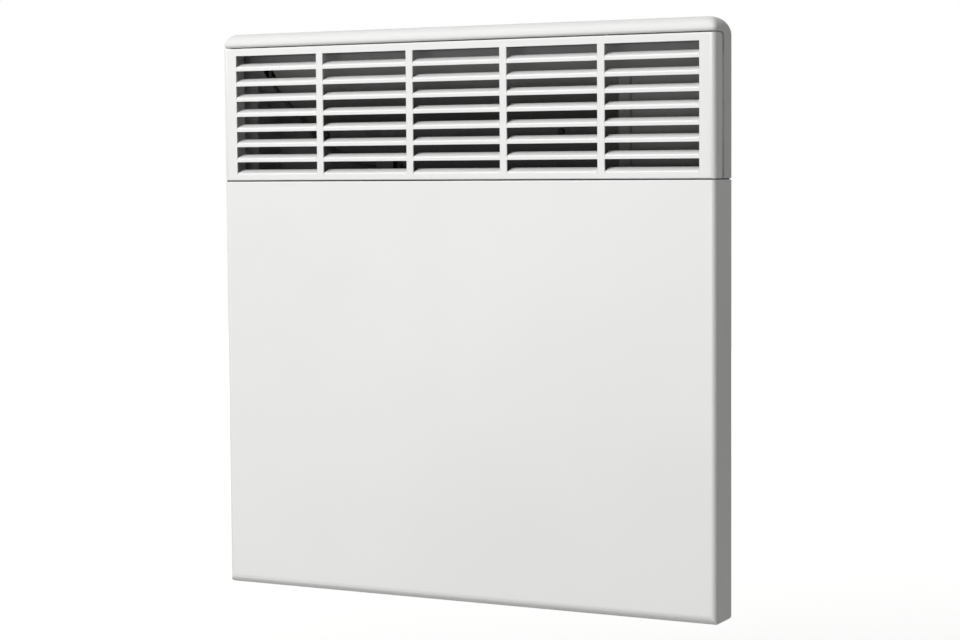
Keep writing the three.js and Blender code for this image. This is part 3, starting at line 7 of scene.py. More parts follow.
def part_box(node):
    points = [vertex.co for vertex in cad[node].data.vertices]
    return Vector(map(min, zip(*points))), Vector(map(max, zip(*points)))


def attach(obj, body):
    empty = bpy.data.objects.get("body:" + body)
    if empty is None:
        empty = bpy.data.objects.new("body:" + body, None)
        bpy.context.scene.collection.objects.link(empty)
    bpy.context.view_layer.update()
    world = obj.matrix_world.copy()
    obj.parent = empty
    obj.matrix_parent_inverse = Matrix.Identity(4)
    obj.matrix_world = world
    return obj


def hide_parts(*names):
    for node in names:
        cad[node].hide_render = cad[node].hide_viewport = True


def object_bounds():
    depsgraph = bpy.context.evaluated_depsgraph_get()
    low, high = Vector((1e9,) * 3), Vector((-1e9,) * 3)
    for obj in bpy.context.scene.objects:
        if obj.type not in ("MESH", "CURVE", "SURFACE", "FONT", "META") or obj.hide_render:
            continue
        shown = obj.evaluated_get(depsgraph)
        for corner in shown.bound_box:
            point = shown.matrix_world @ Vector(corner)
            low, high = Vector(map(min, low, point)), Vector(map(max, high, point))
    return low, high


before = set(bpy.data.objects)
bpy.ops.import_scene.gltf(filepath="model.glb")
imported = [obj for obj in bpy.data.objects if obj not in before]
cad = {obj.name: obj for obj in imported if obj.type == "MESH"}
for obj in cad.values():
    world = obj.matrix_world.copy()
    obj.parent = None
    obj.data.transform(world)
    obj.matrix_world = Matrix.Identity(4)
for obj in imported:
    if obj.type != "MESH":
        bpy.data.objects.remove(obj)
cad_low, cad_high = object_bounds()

# ------------------------------------------------------------------ the view
# The heater is seen from its right and a little above, through a long lens that keeps its
# uprights nearly parallel.
camera_place = Vector((0.8020, -1.5917, 0.1133))
camera_turn = math.radians(27.370)
camera_dip = math.radians(-3.873)
camera_lean = math.radians(-0.417)
focal_pixels = 2257.0
photo_width = 960

ahead = Vector((-math.sin(camera_turn) * math.cos(camera_dip),
                math.cos(camera_turn) * math.cos(camera_dip), math.sin(camera_dip)))
level = Vector((math.cos(camera_turn), math.sin(camera_turn), 0.0))
upright = level.cross(ahead)
sideways = level * math.cos(camera_lean) + upright * math.sin(camera_lean)
upwards = upright * math.cos(camera_lean) - level * math.sin(camera_lean)

lens = bpy.data.cameras.new("long_lens")
lens.sensor_width = 36.0
lens.lens = focal_pixels * lens.sensor_width / photo_width
camera = bpy.data.objects.new("camera", lens)
camera.matrix_world = (Matrix.Translation(camera_place)
                       @ Matrix((sideways, upwards, -ahead)).transposed().to_4x4())
bpy.context.collection.objects.link(camera)
bpy.context.scene.camera = camera
bpy.context.scene.view_settings.view_transform = "Standard"


# ------------------------------------------------------------------ the studio
# The key light is high at the left front, with softer light from above, the right and low in
# front. The floor is 150 mm below the heater, as under one that hangs on a wall. The lens sees air
# and floor as white, apart from the shadow near the heater.
def linear(code):
    """Linear colour of an sRGB hex code."""
    parts = [int(code[i:i + 2], 16) / 255 for i in (0, 2, 4)]
    return [c / 12.92 if c <= 0.04045 else ((c + 0.055) / 1.055) ** 2.4 for c in parts] + [1.0]


def add(tree, kind, settings=None, links=None):
    """Adds a shader node; settings go to its sockets or its options, links join its inputs."""
    made = tree.nodes.new("ShaderNode" + kind)
    for name, value in (settings or {}).items():
        if isinstance(name, str) and hasattr(made, name):
            setattr(made, name, value)
        else:
            made.inputs[name].default_value = value
    for name, source in (links or {}).items():
        tree.links.new(source, made.inputs[name])
    return made


def new_finish(name):
    """A material, its node tree and its surface shader."""
    made = bpy.data.materials.new(name)
    made.use_nodes = True
    return made, made.node_tree, made.node_tree.nodes["Principled BSDF"]


def rays_that_see_white(tree):
    """1 for rays from the lens, through glass or off gloss, and 0 for those that light things."""
    seen = add(tree, "LightPath")
    straight = add(tree, "Math", {"operation": "MAXIMUM"},
                   {0: seen.outputs["Is Camera Ray"], 1: seen.outputs["Is Transmission Ray"]})
    either = add(tree, "Math", {"operation": "MAXIMUM"},
                 {0: straight.outputs[0], 1: seen.outputs["Is Glossy Ray"]})
    return either.outputs[0]


studio = bpy.data.worlds.new("studio_air")
studio.use_nodes = True
bpy.context.scene.world = studio
air = studio.node_tree
room_light = 0.08
strength = add(air, "MapRange", {"To Min": room_light, "To Max": 1.0},
               {"Value": rays_that_see_white(air)})
air.links.new(strength.outputs["Result"], air.nodes["Background"].inputs["Strength"])
air.nodes["Background"].inputs["Color"].default_value = (1.0, 1.0, 1.0, 1.0)


def softbox(name, place, target, width, height, watts):
    """Rectangular soft light aimed at a point."""
    made = bpy.data.lights.new(name, "AREA")
    made.shape = "RECTANGLE"
    made.size = width
    made.size_y = height
    made.energy = watts
    lamp = bpy.data.objects.new(name, made)
    lamp.location = place
    lamp.rotation_euler = (Vector(target) - Vector(place)).to_track_quat("-Z", "Y").to_euler()
    bpy.context.collection.objects.link(lamp)


heater_middle = (0.0, -0.05, 0.0)
softbox("key_softbox", (-1.50, -3.00, 1.90), heater_middle, 1.8, 1.8, 87.0)
softbox("top_softbox", (-0.10, -1.30, 1.90), heater_middle, 1.6, 0.9, 17.4)
softbox("low_fill", (-0.50, -2.60, -0.08), (0.0, -0.05, -0.10), 2.2, 0.5, 11.0)
softbox("side_softbox", (1.20, -0.30, 1.20), (0.20, -0.06, 0.10), 0.8, 0.8, 1.4)

floor_drop = 0.150
floor_half = 4.0
shadow_reach = 0.3
white_reach = 3.0
shadow_white = 0.76
floor_mesh = bpy.data.meshes.new("studio_floor")
floor_form = bmesh.new()
bmesh.ops.create_grid(floor_form, x_segments=4, y_segments=4, size=floor_half)
floor_form.to_mesh(floor_mesh)
floor_form.free()
studio_floor = bpy.data.objects.new("studio_floor", floor_mesh)
studio_floor.location = (0.0, 0.0, cad_low.z - floor_drop)
bpy.context.collection.objects.link(studio_floor)

painted_floor, tree, surface = new_finish("painted_studio_floor")
surface.inputs["Base Color"].default_value = linear("90908e")
surface.inputs["Roughness"].default_value = 0.75
spot = add(tree, "TexCoord")
reach = add(tree, "VectorMath", {"operation": "LENGTH"}, {0: spot.outputs["Object"]})
far = add(tree, "MapRange", {"From Min": shadow_reach, "From Max": white_reach,
                             "To Min": shadow_white, "To Max": 1.0}, {"Value": reach.outputs["Value"]})
weight = add(tree, "Math", {"operation": "MULTIPLY"},
             {0: rays_that_see_white(tree), 1: far.outputs["Result"]})
lift = add(tree, "Emission", {"Color": (1.0, 1.0, 1.0, 1.0)}, {"Strength": weight.outputs[0]})
both = add(tree, "AddShader", None, {0: surface.outputs["BSDF"], 1: lift.outputs[0]})
tree.links.new(both.outputs[0], tree.nodes["Material Output"].inputs["Surface"])
floor_mesh.materials.append(painted_floor)


# ------------------------------------------------------------------ front panel and outlet grille
# Two pieces of 1.2 mm sheet steel, folded and, for the grille, lanced on a press so that each
# opening's tab leans in as a louvre. Both are sprayed with white polyester powder and stoved.
def smooth_folds(pieces, angle_degrees):
    """Shades the bends of pieces or named CAD nodes smoothly and leaves arrises and flats crisp."""
    angle = math.radians(angle_degrees)
    group = bpy.data.node_groups.get(f"smooth_below_{angle_degrees}")
    if group is None:
        group = bpy.data.node_groups.new(f"smooth_below_{angle_degrees}", "GeometryNodeTree")
        group.interface.new_socket("Geometry", in_out="INPUT", socket_type="NodeSocketGeometry")
        group.interface.new_socket("Geometry", in_out="OUTPUT", socket_type="NodeSocketGeometry")
        start = group.nodes.new("NodeGroupInput")
        end = group.nodes.new("NodeGroupOutput")
        weld = group.nodes.new("GeometryNodeMergeByDistance")
        weld.inputs["Distance"].default_value = 2e-6
        edge = group.nodes.new("GeometryNodeInputMeshEdgeAngle")
        bend = group.nodes.new("FunctionNodeCompare")
        bend.operation = "LESS_THAN"
        bend.inputs[1].default_value = angle
        faces = group.nodes.new("GeometryNodeSetShadeSmooth")
        faces.domain = "FACE"
        edges = group.nodes.new("GeometryNodeSetShadeSmooth")
        edges.domain = "EDGE"
        group.links.new(start.outputs[0], weld.inputs["Geometry"])
        group.links.new(weld.outputs[0], faces.inputs["Geometry"])
        group.links.new(faces.outputs[0], edges.inputs["Geometry"])
        group.links.new(edge.outputs["Unsigned Angle"], bend.inputs[0])
        group.links.new(bend.outputs[0], edges.inputs["Shade Smooth"])
        group.links.new(edges.outputs[0], end.inputs[0])
    for piece in pieces:
        piece = cad[piece] if isinstance(piece, str) else piece
        fold = piece.modifiers.new("smooth_folds", "NODES")
        fold.node_group = group
        weigh = piece.modifiers.new("flats_stay_flat", "WEIGHTED_NORMAL")
        weigh.keep_sharp = True
        weigh.weight = 50


def dress(finish, *names):
    """Gives CAD nodes a finish."""
    for name in names:
        cad[name].data.materials.clear()
        cad[name].data.materials.append(finish)


# Polyester powder coat: a semi-matt film that flows out with a faint orange peel. The real
# ripple is 0.8 mm wide; it is drawn 1.6 mm wide so that it shows.
powder_coat, tree, surface = new_finish("white_polyester_powder_coat")
peel_width = 0.0016
drifts_per_metre = 6.0
surface.inputs["Roughness"].default_value = 0.42
surface.inputs["IOR"].default_value = 1.5
spot = add(tree, "TexCoord")
cloud = add(tree, "TexNoise", {"Scale": drifts_per_metre, "Detail": 2.0},
            {"Vector": spot.outputs["Object"]})
shade = add(tree, "ValToRGB", None, {"Fac": cloud.outputs["Fac"]})
shade.color_ramp.elements[0].position = 0.35
shade.color_ramp.elements[0].color = linear("e7e7e6")
shade.color_ramp.elements[1].position = 0.65
shade.color_ramp.elements[1].color = linear("eaeae9")
tree.links.new(shade.outputs["Color"], surface.inputs["Base Color"])
peel = add(tree, "TexNoise", {"Scale": 1.0 / peel_width, "Detail": 1.0},
           {"Vector": spot.outputs["Object"]})
relief = add(tree, "Bump", {"Strength": 0.12, "Distance": 0.00008}, {"Height": peel.outputs["Fac"]})
tree.links.new(relief.outputs["Normal"], surface.inputs["Normal"])

dress(powder_coat, "front_panel", "outlet_grille")
smooth_folds(["front_panel", "outlet_grille"], 36)

# ------------------------------------------------------------------ seam shadow strip
# A near-black strip lies in the seam between panel and grille, a little behind the face, as a
# painted shadow: it stands in for the shade in the gap and lets no light through.
shadow_strip_set_back = 0.0008
shadow_strip_width = 0.0028
shadow_strip_end = 0.0015
seam_corner = 0.0045
tightest_corner = 0.0005
corner_steps = 6
panel_low, panel_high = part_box("front_panel")
grille_low, grille_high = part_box("outlet_grille")


def seam_path(inset):
    """Plan of the strip's edge: a U with rounded corners, from the left rear to the right rear."""
    half, face, rear = panel_high[0] - inset, panel_low[1] + inset, panel_high[1] - shadow_strip_end
    radius = max(seam_corner - inset, tightest_corner)
    turn = [math.radians(90 * step / corner_steps) for step in range(corner_steps + 1)]
    left = [(-half + radius * (1 - math.cos(a)), face + radius * (1 - math.sin(a))) for a in turn]
    return [(-half, rear)] + left + [(-x, y) for x, y in reversed(left)] + [(half, rear)]


shadow_strip_form = bmesh.new()
shadow_strip_back = shadow_strip_set_back + shadow_strip_width
shadow_strip_corners = ((panel_high[2], shadow_strip_set_back), (grille_low[2], shadow_strip_set_back),
                (grille_low[2], shadow_strip_back), (panel_high[2], shadow_strip_back))
rings = [[shadow_strip_form.verts.new((x, y, z)) for x, y in seam_path(inset)] for z, inset in shadow_strip_corners]
for this, after in zip(rings, rings[1:] + rings[:1]):
    for count in range(len(this) - 1):
        shadow_strip_form.faces.new((this[count], this[count + 1], after[count + 1], after[count]))
shadow_strip_form.faces.new([ring[0] for ring in rings])
shadow_strip_form.faces.new([ring[-1] for ring in reversed(rings)])
bmesh.ops.recalc_face_normals(shadow_strip_form, faces=shadow_strip_form.faces)
shadow_strip_mesh = bpy.data.meshes.new("seam_shadow_strip")
shadow_strip_form.to_mesh(shadow_strip_mesh)
shadow_strip_form.free()
seam_shadow_strip = bpy.data.objects.new("seam_shadow_strip", shadow_strip_mesh)
bpy.context.collection.objects.link(seam_shadow_strip)
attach(seam_shadow_strip, "casing")

painted_seam_shadow, tree, surface = new_finish("black_painted_seam_shadow")
cell_width = 0.0004
surface.inputs["Roughness"].default_value = 0.9
spot = add(tree, "TexCoord")
cells = add(tree, "TexVoronoi", {"Scale": 1.0 / cell_width}, {"Vector": spot.outputs["Object"]})
# Painted shadow: the strip is near black so that the seam reads as a dark gap.
soot = add(tree, "ValToRGB", None, {"Fac": cells.outputs["Distance"]})
soot.color_ramp.elements[0].color = linear("141414")
soot.color_ramp.elements[1].color = linear("2b2b2b")
tree.links.new(soot.outputs["Color"], surface.inputs["Base Color"])
relief = add(tree, "Bump", {"Strength": 0.6, "Distance": 0.0001},
             {"Height": cells.outputs["Distance"]})
tree.links.new(relief.outputs["Normal"], surface.inputs["Normal"])
shadow_strip_mesh.materials.append(painted_seam_shadow)

# ------------------------------------------------------------------ hood
# The cap over grille and pan is injection moulded in white ABS, in a tool with a fine spark
# texture, so it is more matt than the powder-coated sheet. Its white is set a touch darker
# than the sheet's, as painted shade against the strong light on its top.
moulded_white, tree, surface = new_finish("white_moulded_abs")
spark_width = 0.0009
surface.inputs["IOR"].default_value = 1.53
spot = add(tree, "TexCoord")
grain = add(tree, "TexNoise", {"Scale": 1.0 / spark_width, "Detail": 2.0},
            {"Vector": spot.outputs["Object"]})
# Painted shade: a darker white, to offset the strong light on the hood's top.
tint = add(tree, "ValToRGB", None, {"Fac": grain.outputs["Fac"]})
tint.color_ramp.elements[0].color = linear("dadad9")
tint.color_ramp.elements[1].color = linear("dededd")
tree.links.new(tint.outputs["Color"], surface.inputs["Base Color"])
sheen = add(tree, "MapRange", {"To Min": 0.46, "To Max": 0.54}, {"Value": grain.outputs["Fac"]})
tree.links.new(sheen.outputs["Result"], surface.inputs["Roughness"])
relief = add(tree, "Bump", {"Strength": 0.15, "Distance": 0.00005},
             {"Height": grain.outputs["Fac"]})
tree.links.new(relief.outputs["Normal"], surface.inputs["Normal"])

# The shell is a 2 mm wall: a bull nose in front, a crest that falls to the pan behind, rounded
# ends, and cheeks that run down beside the grille. Its lower edge is rolled in at the seam.
hood_low, hood_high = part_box("top_hood")
hood_wall = 0.0020
nose_radius = 0.0085
end_radius = 0.0085
rear_end_radius = 0.0040
plan_radius = 0.0042
lip_radius = 0.0020
notch_radius = 0.0045
boss_radius = 0.0035
boss_height = 0.0083
seam_gap = 0.0009
seat_gap = 0.0003
cheek_gap = 0.0005
quarter_steps = 10
hood_edge = grille_high[2] + seam_gap
hood_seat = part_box("rear_pan")[1][2] + seat_gap
cheek_front = grille_high[1] + cheek_gap
quarter = [math.radians(90 * step / quarter_steps) for step in range(quarter_steps + 1)]


def rounded_off(radius, run):
    """How far a rounded end falls back at a distance inside it."""
    return radius - math.sqrt(radius ** 2 - max(radius - run, 0.0) ** 2)


def hood_section(run):
    """Side view of the hood's outside, at a distance inside its end: lip, nose, then crest."""
    set_back, lowered = rounded_off(plan_radius, run), rounded_off(end_radius, run)
    face = hood_low[1] + set_back
    nose_y, nose_z = hood_low[1] + nose_radius, hood_high[2] - nose_radius
    forward, upward = nose_radius - set_back, nose_radius - lowered
    lip = [(face + lip_radius * (1 - math.sin(a)), hood_edge + lip_radius * (1 - math.cos(a)))
           for a in quarter]
    nose = [(nose_y - forward * math.cos(a), nose_z + upward * math.sin(a)) for a in quarter]
    crest = []
    for a in quarter[1:]:
        radius = rear_end_radius + (end_radius - rear_end_radius) * (1 - math.sin(a)) ** 2
        rise = hood_high[2] - rounded_off(radius, run) - hood_seat
        crest.append((nose_y + (hood_high[1] - nose_y) * math.sin(a),
                      hood_seat + rise * math.cos(a)))
    return lip + nose + crest


hood_form = bmesh.new()
runs = [end_radius * (1 - math.cos(a)) for a in quarter]
places = [hood_low[0] + run for run in runs] + [hood_high[0] - run for run in reversed(runs)]
stations = [[hood_form.verts.new((x, y, z)) for y, z in hood_section(run)]
            for x, run in zip(places, runs + runs[::-1])]
for this, after in zip(stations, stations[1:]):
    for count in range(len(this) - 1):
        hood_form.faces.new((this[count], after[count], after[count + 1], this[count + 1]))
cheek = [(hood_high[1], hood_low[2]), (cheek_front, hood_low[2])]
cheek += [(cheek_front - notch_radius * (1 - math.cos(a)),
           hood_edge - notch_radius * (1 - math.sin(a))) for a in quarter]
for x, station in ((hood_low[0], stations[0]), (hood_high[0], stations[-1])):
    hood_form.faces.new(station + [hood_form.verts.new((x, y, z)) for y, z in cheek])
bmesh.ops.remove_doubles(hood_form, verts=hood_form.verts, dist=1e-6)
bmesh.ops.recalc_face_normals(hood_form, faces=hood_form.faces)
if max(hood_form.faces, key=lambda face: face.calc_center_median().z).normal.z < 0:
    bmesh.ops.reverse_faces(hood_form, faces=hood_form.faces)
for side in ("left", "right"):
    screw_low, screw_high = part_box("hood_screw_" + side)
    boss_place = ((screw_low[0] + screw_high[0]) / 2, (screw_low[1] + screw_high[1]) / 2,
                  hood_seat + boss_height / 2)
    bmesh.ops.create_cone(hood_form, segments=32, radius1=boss_radius, radius2=boss_radius,
                          depth=boss_height, matrix=Matrix.Translation(boss_place))
hood_mesh = bpy.data.meshes.new("hood_shell")
hood_form.to_mesh(hood_mesh)
hood_form.free()
hood_shell = bpy.data.objects.new("hood_shell", hood_mesh)
bpy.context.collection.objects.link(hood_shell)
wall = hood_shell.modifiers.new("wall", "SOLIDIFY")
wall.thickness = hood_wall
wall.offset = -1.0
wall.use_even_offset = True
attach(hood_shell, "casing")
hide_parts("top_hood")
hood_mesh.materials.append(moulded_white)
smooth_folds([hood_shell], 40)

# ------------------------------------------------------------------ pan, bracket and inner sheets
# Hot-dip galvanised steel: the pan is drawn, the bracket pressed and the deflector, shield,
# partition, cover and hanger folded. Zinc crystals give patches of slightly different grey.
galvanised, tree, surface = new_finish("hot_dip_galvanised_steel")
spangle_width = 0.007
wipes_per_metre = 250.0
surface.inputs["Metallic"].default_value = 1.0
spot = add(tree, "TexCoord")
crystals = add(tree, "TexVoronoi", {"Scale": 1.0 / spangle_width, "Randomness": 1.0},
               {"Vector": spot.outputs["Object"]})
bloom = add(tree, "SeparateColor", None, {0: crystals.outputs["Color"]})
zinc = add(tree, "ValToRGB", None, {"Fac": bloom.outputs[0]})
zinc.color_ramp.elements[0].color = linear("8b8e90")
zinc.color_ramp.elements[1].color = linear("a4a7a9")
tree.links.new(zinc.outputs["Color"], surface.inputs["Base Color"])
dull = add(tree, "MapRange", {"To Min": 0.40, "To Max": 0.58}, {"Value": bloom.outputs[1]})
tree.links.new(dull.outputs["Result"], surface.inputs["Roughness"])
wipe = add(tree, "TexNoise", {"Scale": wipes_per_metre, "Detail": 3.0},
           {"Vector": spot.outputs["Object"]})
relief = add(tree, "Bump", {"Strength": 0.1, "Distance": 0.00005}, {"Height": wipe.outputs["Fac"]})
tree.links.new(relief.outputs["Normal"], surface.inputs["Normal"])
zinc_sheets = ["wall_bracket", "rear_pan", "air_deflector", "heat_shield", "right_partition",
               "control_cover", "element_hanger"]
dress(galvanised, *zinc_sheets)

# The sheets in the air stream are matt zinc with painted shade: darkest low down in the cavity
# behind the louvres, lighter above, and evened out to one painted shade at the left end, past the
# element.
painted_shade_zinc_metal = 0.25
edge_waver = 0.002
painted_left_end_x = -0.190
height_shade_from_x = -0.145


def painted_shade_zinc(name, painted_left_end, *shades):
    """Zinc with painted shade by height, evened out at the left end; each shade is a height above the
    origin in millimetres and a colour.
    """
    made, tree, surface = new_finish(name)
    surface.inputs["Metallic"].default_value = painted_shade_zinc_metal
    surface.inputs["Roughness"].default_value = 0.62
    spot = add(tree, "TexCoord")
    height = add(tree, "SeparateXYZ", None, {0: spot.outputs["Object"]})
    crystals = add(tree, "TexVoronoi", {"Scale": 1.0 / spangle_width, "Randomness": 1.0},
                   {"Vector": spot.outputs["Object"]})
    bloom = add(tree, "SeparateColor", None, {0: crystals.outputs["Color"]})
    drift = add(tree, "MapRange", {"To Min": -edge_waver, "To Max": edge_waver},
                {"Value": bloom.outputs[0]})
    wander = add(tree, "Math", {"operation": "ADD"},
                 {0: height.outputs["Z"], 1: drift.outputs["Result"]})
    low, high = shades[0][0] / 1000, shades[-1][0] / 1000
    share = add(tree, "MapRange", {"From Min": low, "From Max": high}, {"Value": wander.outputs[0]})
    # Painted shade by height: the colour darkens lower down in the cavity behind the louvres.
    shade_colour = add(tree, "ValToRGB", None, {"Fac": share.outputs["Result"]})
    for count, (level_mm, shade) in enumerate(shades):
        place = (level_mm / 1000 - low) / (high - low)
        stops = shade_colour.color_ramp.elements
        last = count == len(shades) - 1
        stop = stops[0] if count == 0 else stops[-1] if last else stops.new(place)
        stop.position = place
        stop.color = linear(shade)
    # Painted light and shade at the left end: the height ramp blends into one even shade there.
    height_shade_share = add(tree, "MapRange", {"From Min": painted_left_end_x, "From Max": height_shade_from_x},
                 {"Value": height.outputs["X"]})
    along = add(tree, "MixRGB", {"Color1": linear(painted_left_end)},
                {"Fac": height_shade_share.outputs["Result"], "Color2": shade_colour.outputs["Color"]})
    tree.links.new(along.outputs["Color"], surface.inputs["Base Color"])
    return made, tree, surface, spot, along


deflector_zinc, *_ = painted_shade_zinc("zinc_with_painted_shade_of_the_deflector", "606060", (136, "262626"),
                            (150, "4b4b4a"), (162, "5a5a59"), (174, "656564"), (185, "7e7e7d"),
                            (200, "7c7c7c"))
dress(deflector_zinc, "air_deflector", "element_hanger", "heat_shield")
bay_zinc, *_ = painted_shade_zinc("zinc_with_painted_shade_of_the_bay", "606060", (110, "414140"), (138, "555554"),
                      (165, "646463"))
dress(bay_zinc, "right_partition", "control_cover")

# The outer face of the pan's back is bright zinc. Its walls, and its inside behind the louvres,
# are painted dark as shade, evened out to a lighter painted shade at the left end.
pan_outer_skin = -0.0186
pan_zinc, tree, surface, spot, shade_colour = painted_shade_zinc("pan_zinc_with_painted_shade", "7c7d7d", (100, "323231"),
                                              (150, "303030"))
depth = add(tree, "SeparateXYZ", None, {0: spot.outputs["Object"]})
outside = add(tree, "Math", {"operation": "GREATER_THAN", 1: pan_outer_skin},
              {0: depth.outputs["Y"]})
bright = add(tree, "MixRGB", {"Color2": linear("989b9d")},
             {"Fac": outside.outputs[0], "Color1": shade_colour.outputs["Color"]})
tree.links.new(bright.outputs["Color"], surface.inputs["Base Color"])
metal = add(tree, "MapRange", {"To Min": painted_shade_zinc_metal, "To Max": 1.0}, {"Value": outside.outputs[0]})
tree.links.new(metal.outputs["Result"], surface.inputs["Metallic"])
dress(pan_zinc, "rear_pan")
smooth_folds(zinc_sheets, 46)

# ------------------------------------------------------------------ heating element
# A finned extrusion in plain aluminium on a tubular steel sheath, held at both ends in
# unglazed steatite spools, with turned brass terminal pins.
extruded, tree, surface = new_finish("extruded_aluminium")
die_line = 0.0008
surface.inputs["Metallic"].default_value = 1.0
spot = add(tree, "TexCoord")
run = add(tree, "Mapping", {"Scale": (2.0, 1.0 / die_line, 1.0 / die_line)},
          {"Vector": spot.outputs["Object"]})
lines = add(tree, "TexNoise", {"Scale": 1.0, "Detail": 2.0}, {"Vector": run.outputs["Vector"]})
tone = add(tree, "ValToRGB", None, {"Fac": lines.outputs["Fac"]})
tone.color_ramp.elements[0].color = linear("a8abad")
tone.color_ramp.elements[1].color = linear("c4c7c9")
tree.links.new(tone.outputs["Color"], surface.inputs["Base Color"])
surface.inputs["Roughness"].default_value = 0.38
relief = add(tree, "Bump", {"Strength": 0.2, "Distance": 0.00005}, {"Height": lines.outputs["Fac"]})
tree.links.new(relief.outputs["Normal"], surface.inputs["Normal"])
dress(extruded, "element_fins")
smooth_folds(["element_fins"], 25)

sheath, tree, surface = new_finish("annealed_steel_sheath")
tints_per_metre = 40.0
surface.inputs["Metallic"].default_value = 1.0
spot = add(tree, "TexCoord")
heat = add(tree, "TexNoise", {"Scale": tints_per_metre, "Detail": 2.0},
           {"Vector": spot.outputs["Object"]})
straw = add(tree, "ValToRGB", None, {"Fac": heat.outputs["Fac"]})
straw.color_ramp.elements[0].color = linear("8e8879")
straw.color_ramp.elements[1].color = linear("a2a4a5")
tree.links.new(straw.outputs["Color"], surface.inputs["Base Color"])
surface.inputs["Roughness"].default_value = 0.34
dress(sheath, "element_core")

steatite, tree, surface = new_finish("unglazed_steatite")
pores_per_metre = 900.0
surface.inputs["Roughness"].default_value = 0.72
spot = add(tree, "TexCoord")
pores = add(tree, "TexNoise", {"Scale": pores_per_metre, "Detail": 3.0},
            {"Vector": spot.outputs["Object"]})
cream = add(tree, "ValToRGB", None, {"Fac": pores.outputs["Fac"]})
cream.color_ramp.elements[0].color = linear("ded7c5")
cream.color_ramp.elements[1].color = linear("ece7da")
tree.links.new(cream.outputs["Color"], surface.inputs["Base Color"])
relief = add(tree, "Bump", {"Strength": 0.3, "Distance": 0.0001}, {"Height": pores.outputs["Fac"]})
tree.links.new(relief.outputs["Normal"], surface.inputs["Normal"])
dress(steatite, "element_spool_left", "element_spool_right")

turned_brass, tree, surface = new_finish("turned_brass")
tool_marks_per_metre = 900.0
surface.inputs["Metallic"].default_value = 1.0
spot = add(tree, "TexCoord")
rings = add(tree, "TexWave", {"Scale": tool_marks_per_metre, "Distortion": 0.5},
            {"Vector": spot.outputs["Object"]})
gold = add(tree, "ValToRGB", None, {"Fac": rings.outputs["Fac"]})
gold.color_ramp.elements[0].color = linear("a88745")
gold.color_ramp.elements[1].color = linear("c4a25c")
tree.links.new(gold.outputs["Color"], surface.inputs["Base Color"])
surface.inputs["Roughness"].default_value = 0.3
dress(turned_brass, "element_terminal_left", "element_terminal_right")
smooth_folds(["element_core", "element_spool_left", "element_spool_right",
              "element_terminal_left", "element_terminal_right"], 40)

# ------------------------------------------------------------------ cut-out and leads
# A phenolic snap-disc on the back wall, and leads in woven glass-fibre sleeving: black for the
# heating circuit, green and yellow for the earth.
phenolic, tree, surface = new_finish("black_phenolic_moulding")
flow_marks_per_metre = 500.0
spot = add(tree, "TexCoord")
flow = add(tree, "TexNoise", {"Scale": flow_marks_per_metre, "Detail": 3.0},
           {"Vector": spot.outputs["Object"]})
soot = add(tree, "ValToRGB", None, {"Fac": flow.outputs["Fac"]})
soot.color_ramp.elements[0].color = linear("1c1d1e")
soot.color_ramp.elements[1].color = linear("292a2b")
tree.links.new(soot.outputs["Color"], surface.inputs["Base Color"])
surface.inputs["Roughness"].default_value = 0.5
dress(phenolic, "thermal_cutout", "mode_switch", "mode_slider", "power_relay", "board_capacitor",
      "room_sensor")
smooth_folds(["thermal_cutout", "board_capacitor", "room_sensor"], 40)


def woven(name, dark, light, thread_width):
    """Sleeving of threads that cross at 45 degrees."""
    made, tree, surface = new_finish(name)
    spot = add(tree, "TexCoord")
    over = add(tree, "TexWave", {"bands_direction": "DIAGONAL", "Scale": 0.5 / thread_width},
               {"Vector": spot.outputs["Object"]})
    turn = add(tree, "Mapping", {"Scale": (-1.0, 1.0, 1.0)}, {"Vector": spot.outputs["Object"]})
    under = add(tree, "TexWave", {"bands_direction": "DIAGONAL", "Scale": 0.5 / thread_width},
                {"Vector": turn.outputs["Vector"]})
    cross = add(tree, "Math", {"operation": "MULTIPLY"},
                {0: over.outputs["Fac"], 1: under.outputs["Fac"]})
    dye = add(tree, "ValToRGB", None, {"Fac": cross.outputs[0]})
    dye.color_ramp.elements[0].color = linear(dark)
    dye.color_ramp.elements[1].color = linear(light)
    tree.links.new(dye.outputs["Color"], surface.inputs["Base Color"])
    relief = add(tree, "Bump", {"Strength": 0.5, "Distance": 0.0002}, {"Height": cross.outputs[0]})
    tree.links.new(relief.outputs["Normal"], surface.inputs["Normal"])
    surface.inputs["Roughness"].default_value = 0.8
    return made


black_sleeving = woven("black_glass_fibre_sleeving", "2c2c2d", "48484a", 0.0006)
dress(black_sleeving, "cutout_lead_upper", "cutout_lead_lower", "element_feed_wire")
earth_sleeving = woven("green_and_yellow_sleeving", "4f7d2a", "c9b631", 0.0018)
dress(earth_sleeving, "earth_wire")
smooth_folds(["cutout_lead_upper", "cutout_lead_lower", "element_feed_wire", "earth_wire"], 70)

# ------------------------------------------------------------------ electrics
# A grey moulded tray screwed to the pan carries the circuit board. Below it sit a white
# polyamide terminal block, a cord-grip bridge and the rubber grommet for the supply cable.
grey_moulding, tree, surface = new_finish("grey_moulded_polycarbonate")
sparks_per_metre = 1100.0
spot = add(tree, "TexCoord")
grain = add(tree, "TexNoise", {"Scale": sparks_per_metre, "Detail": 2.0},
            {"Vector": spot.outputs["Object"]})
grey = add(tree, "ValToRGB", None, {"Fac": grain.outputs["Fac"]})
grey.color_ramp.elements[0].color = linear("85898c")
grey.color_ramp.elements[1].color = linear("909497")
tree.links.new(grey.outputs["Color"], surface.inputs["Base Color"])
surface.inputs["Roughness"].default_value = 0.5
dress(grey_moulding, "control_housing", "potentiometer")
smooth_folds(["control_housing", "potentiometer"], 35)

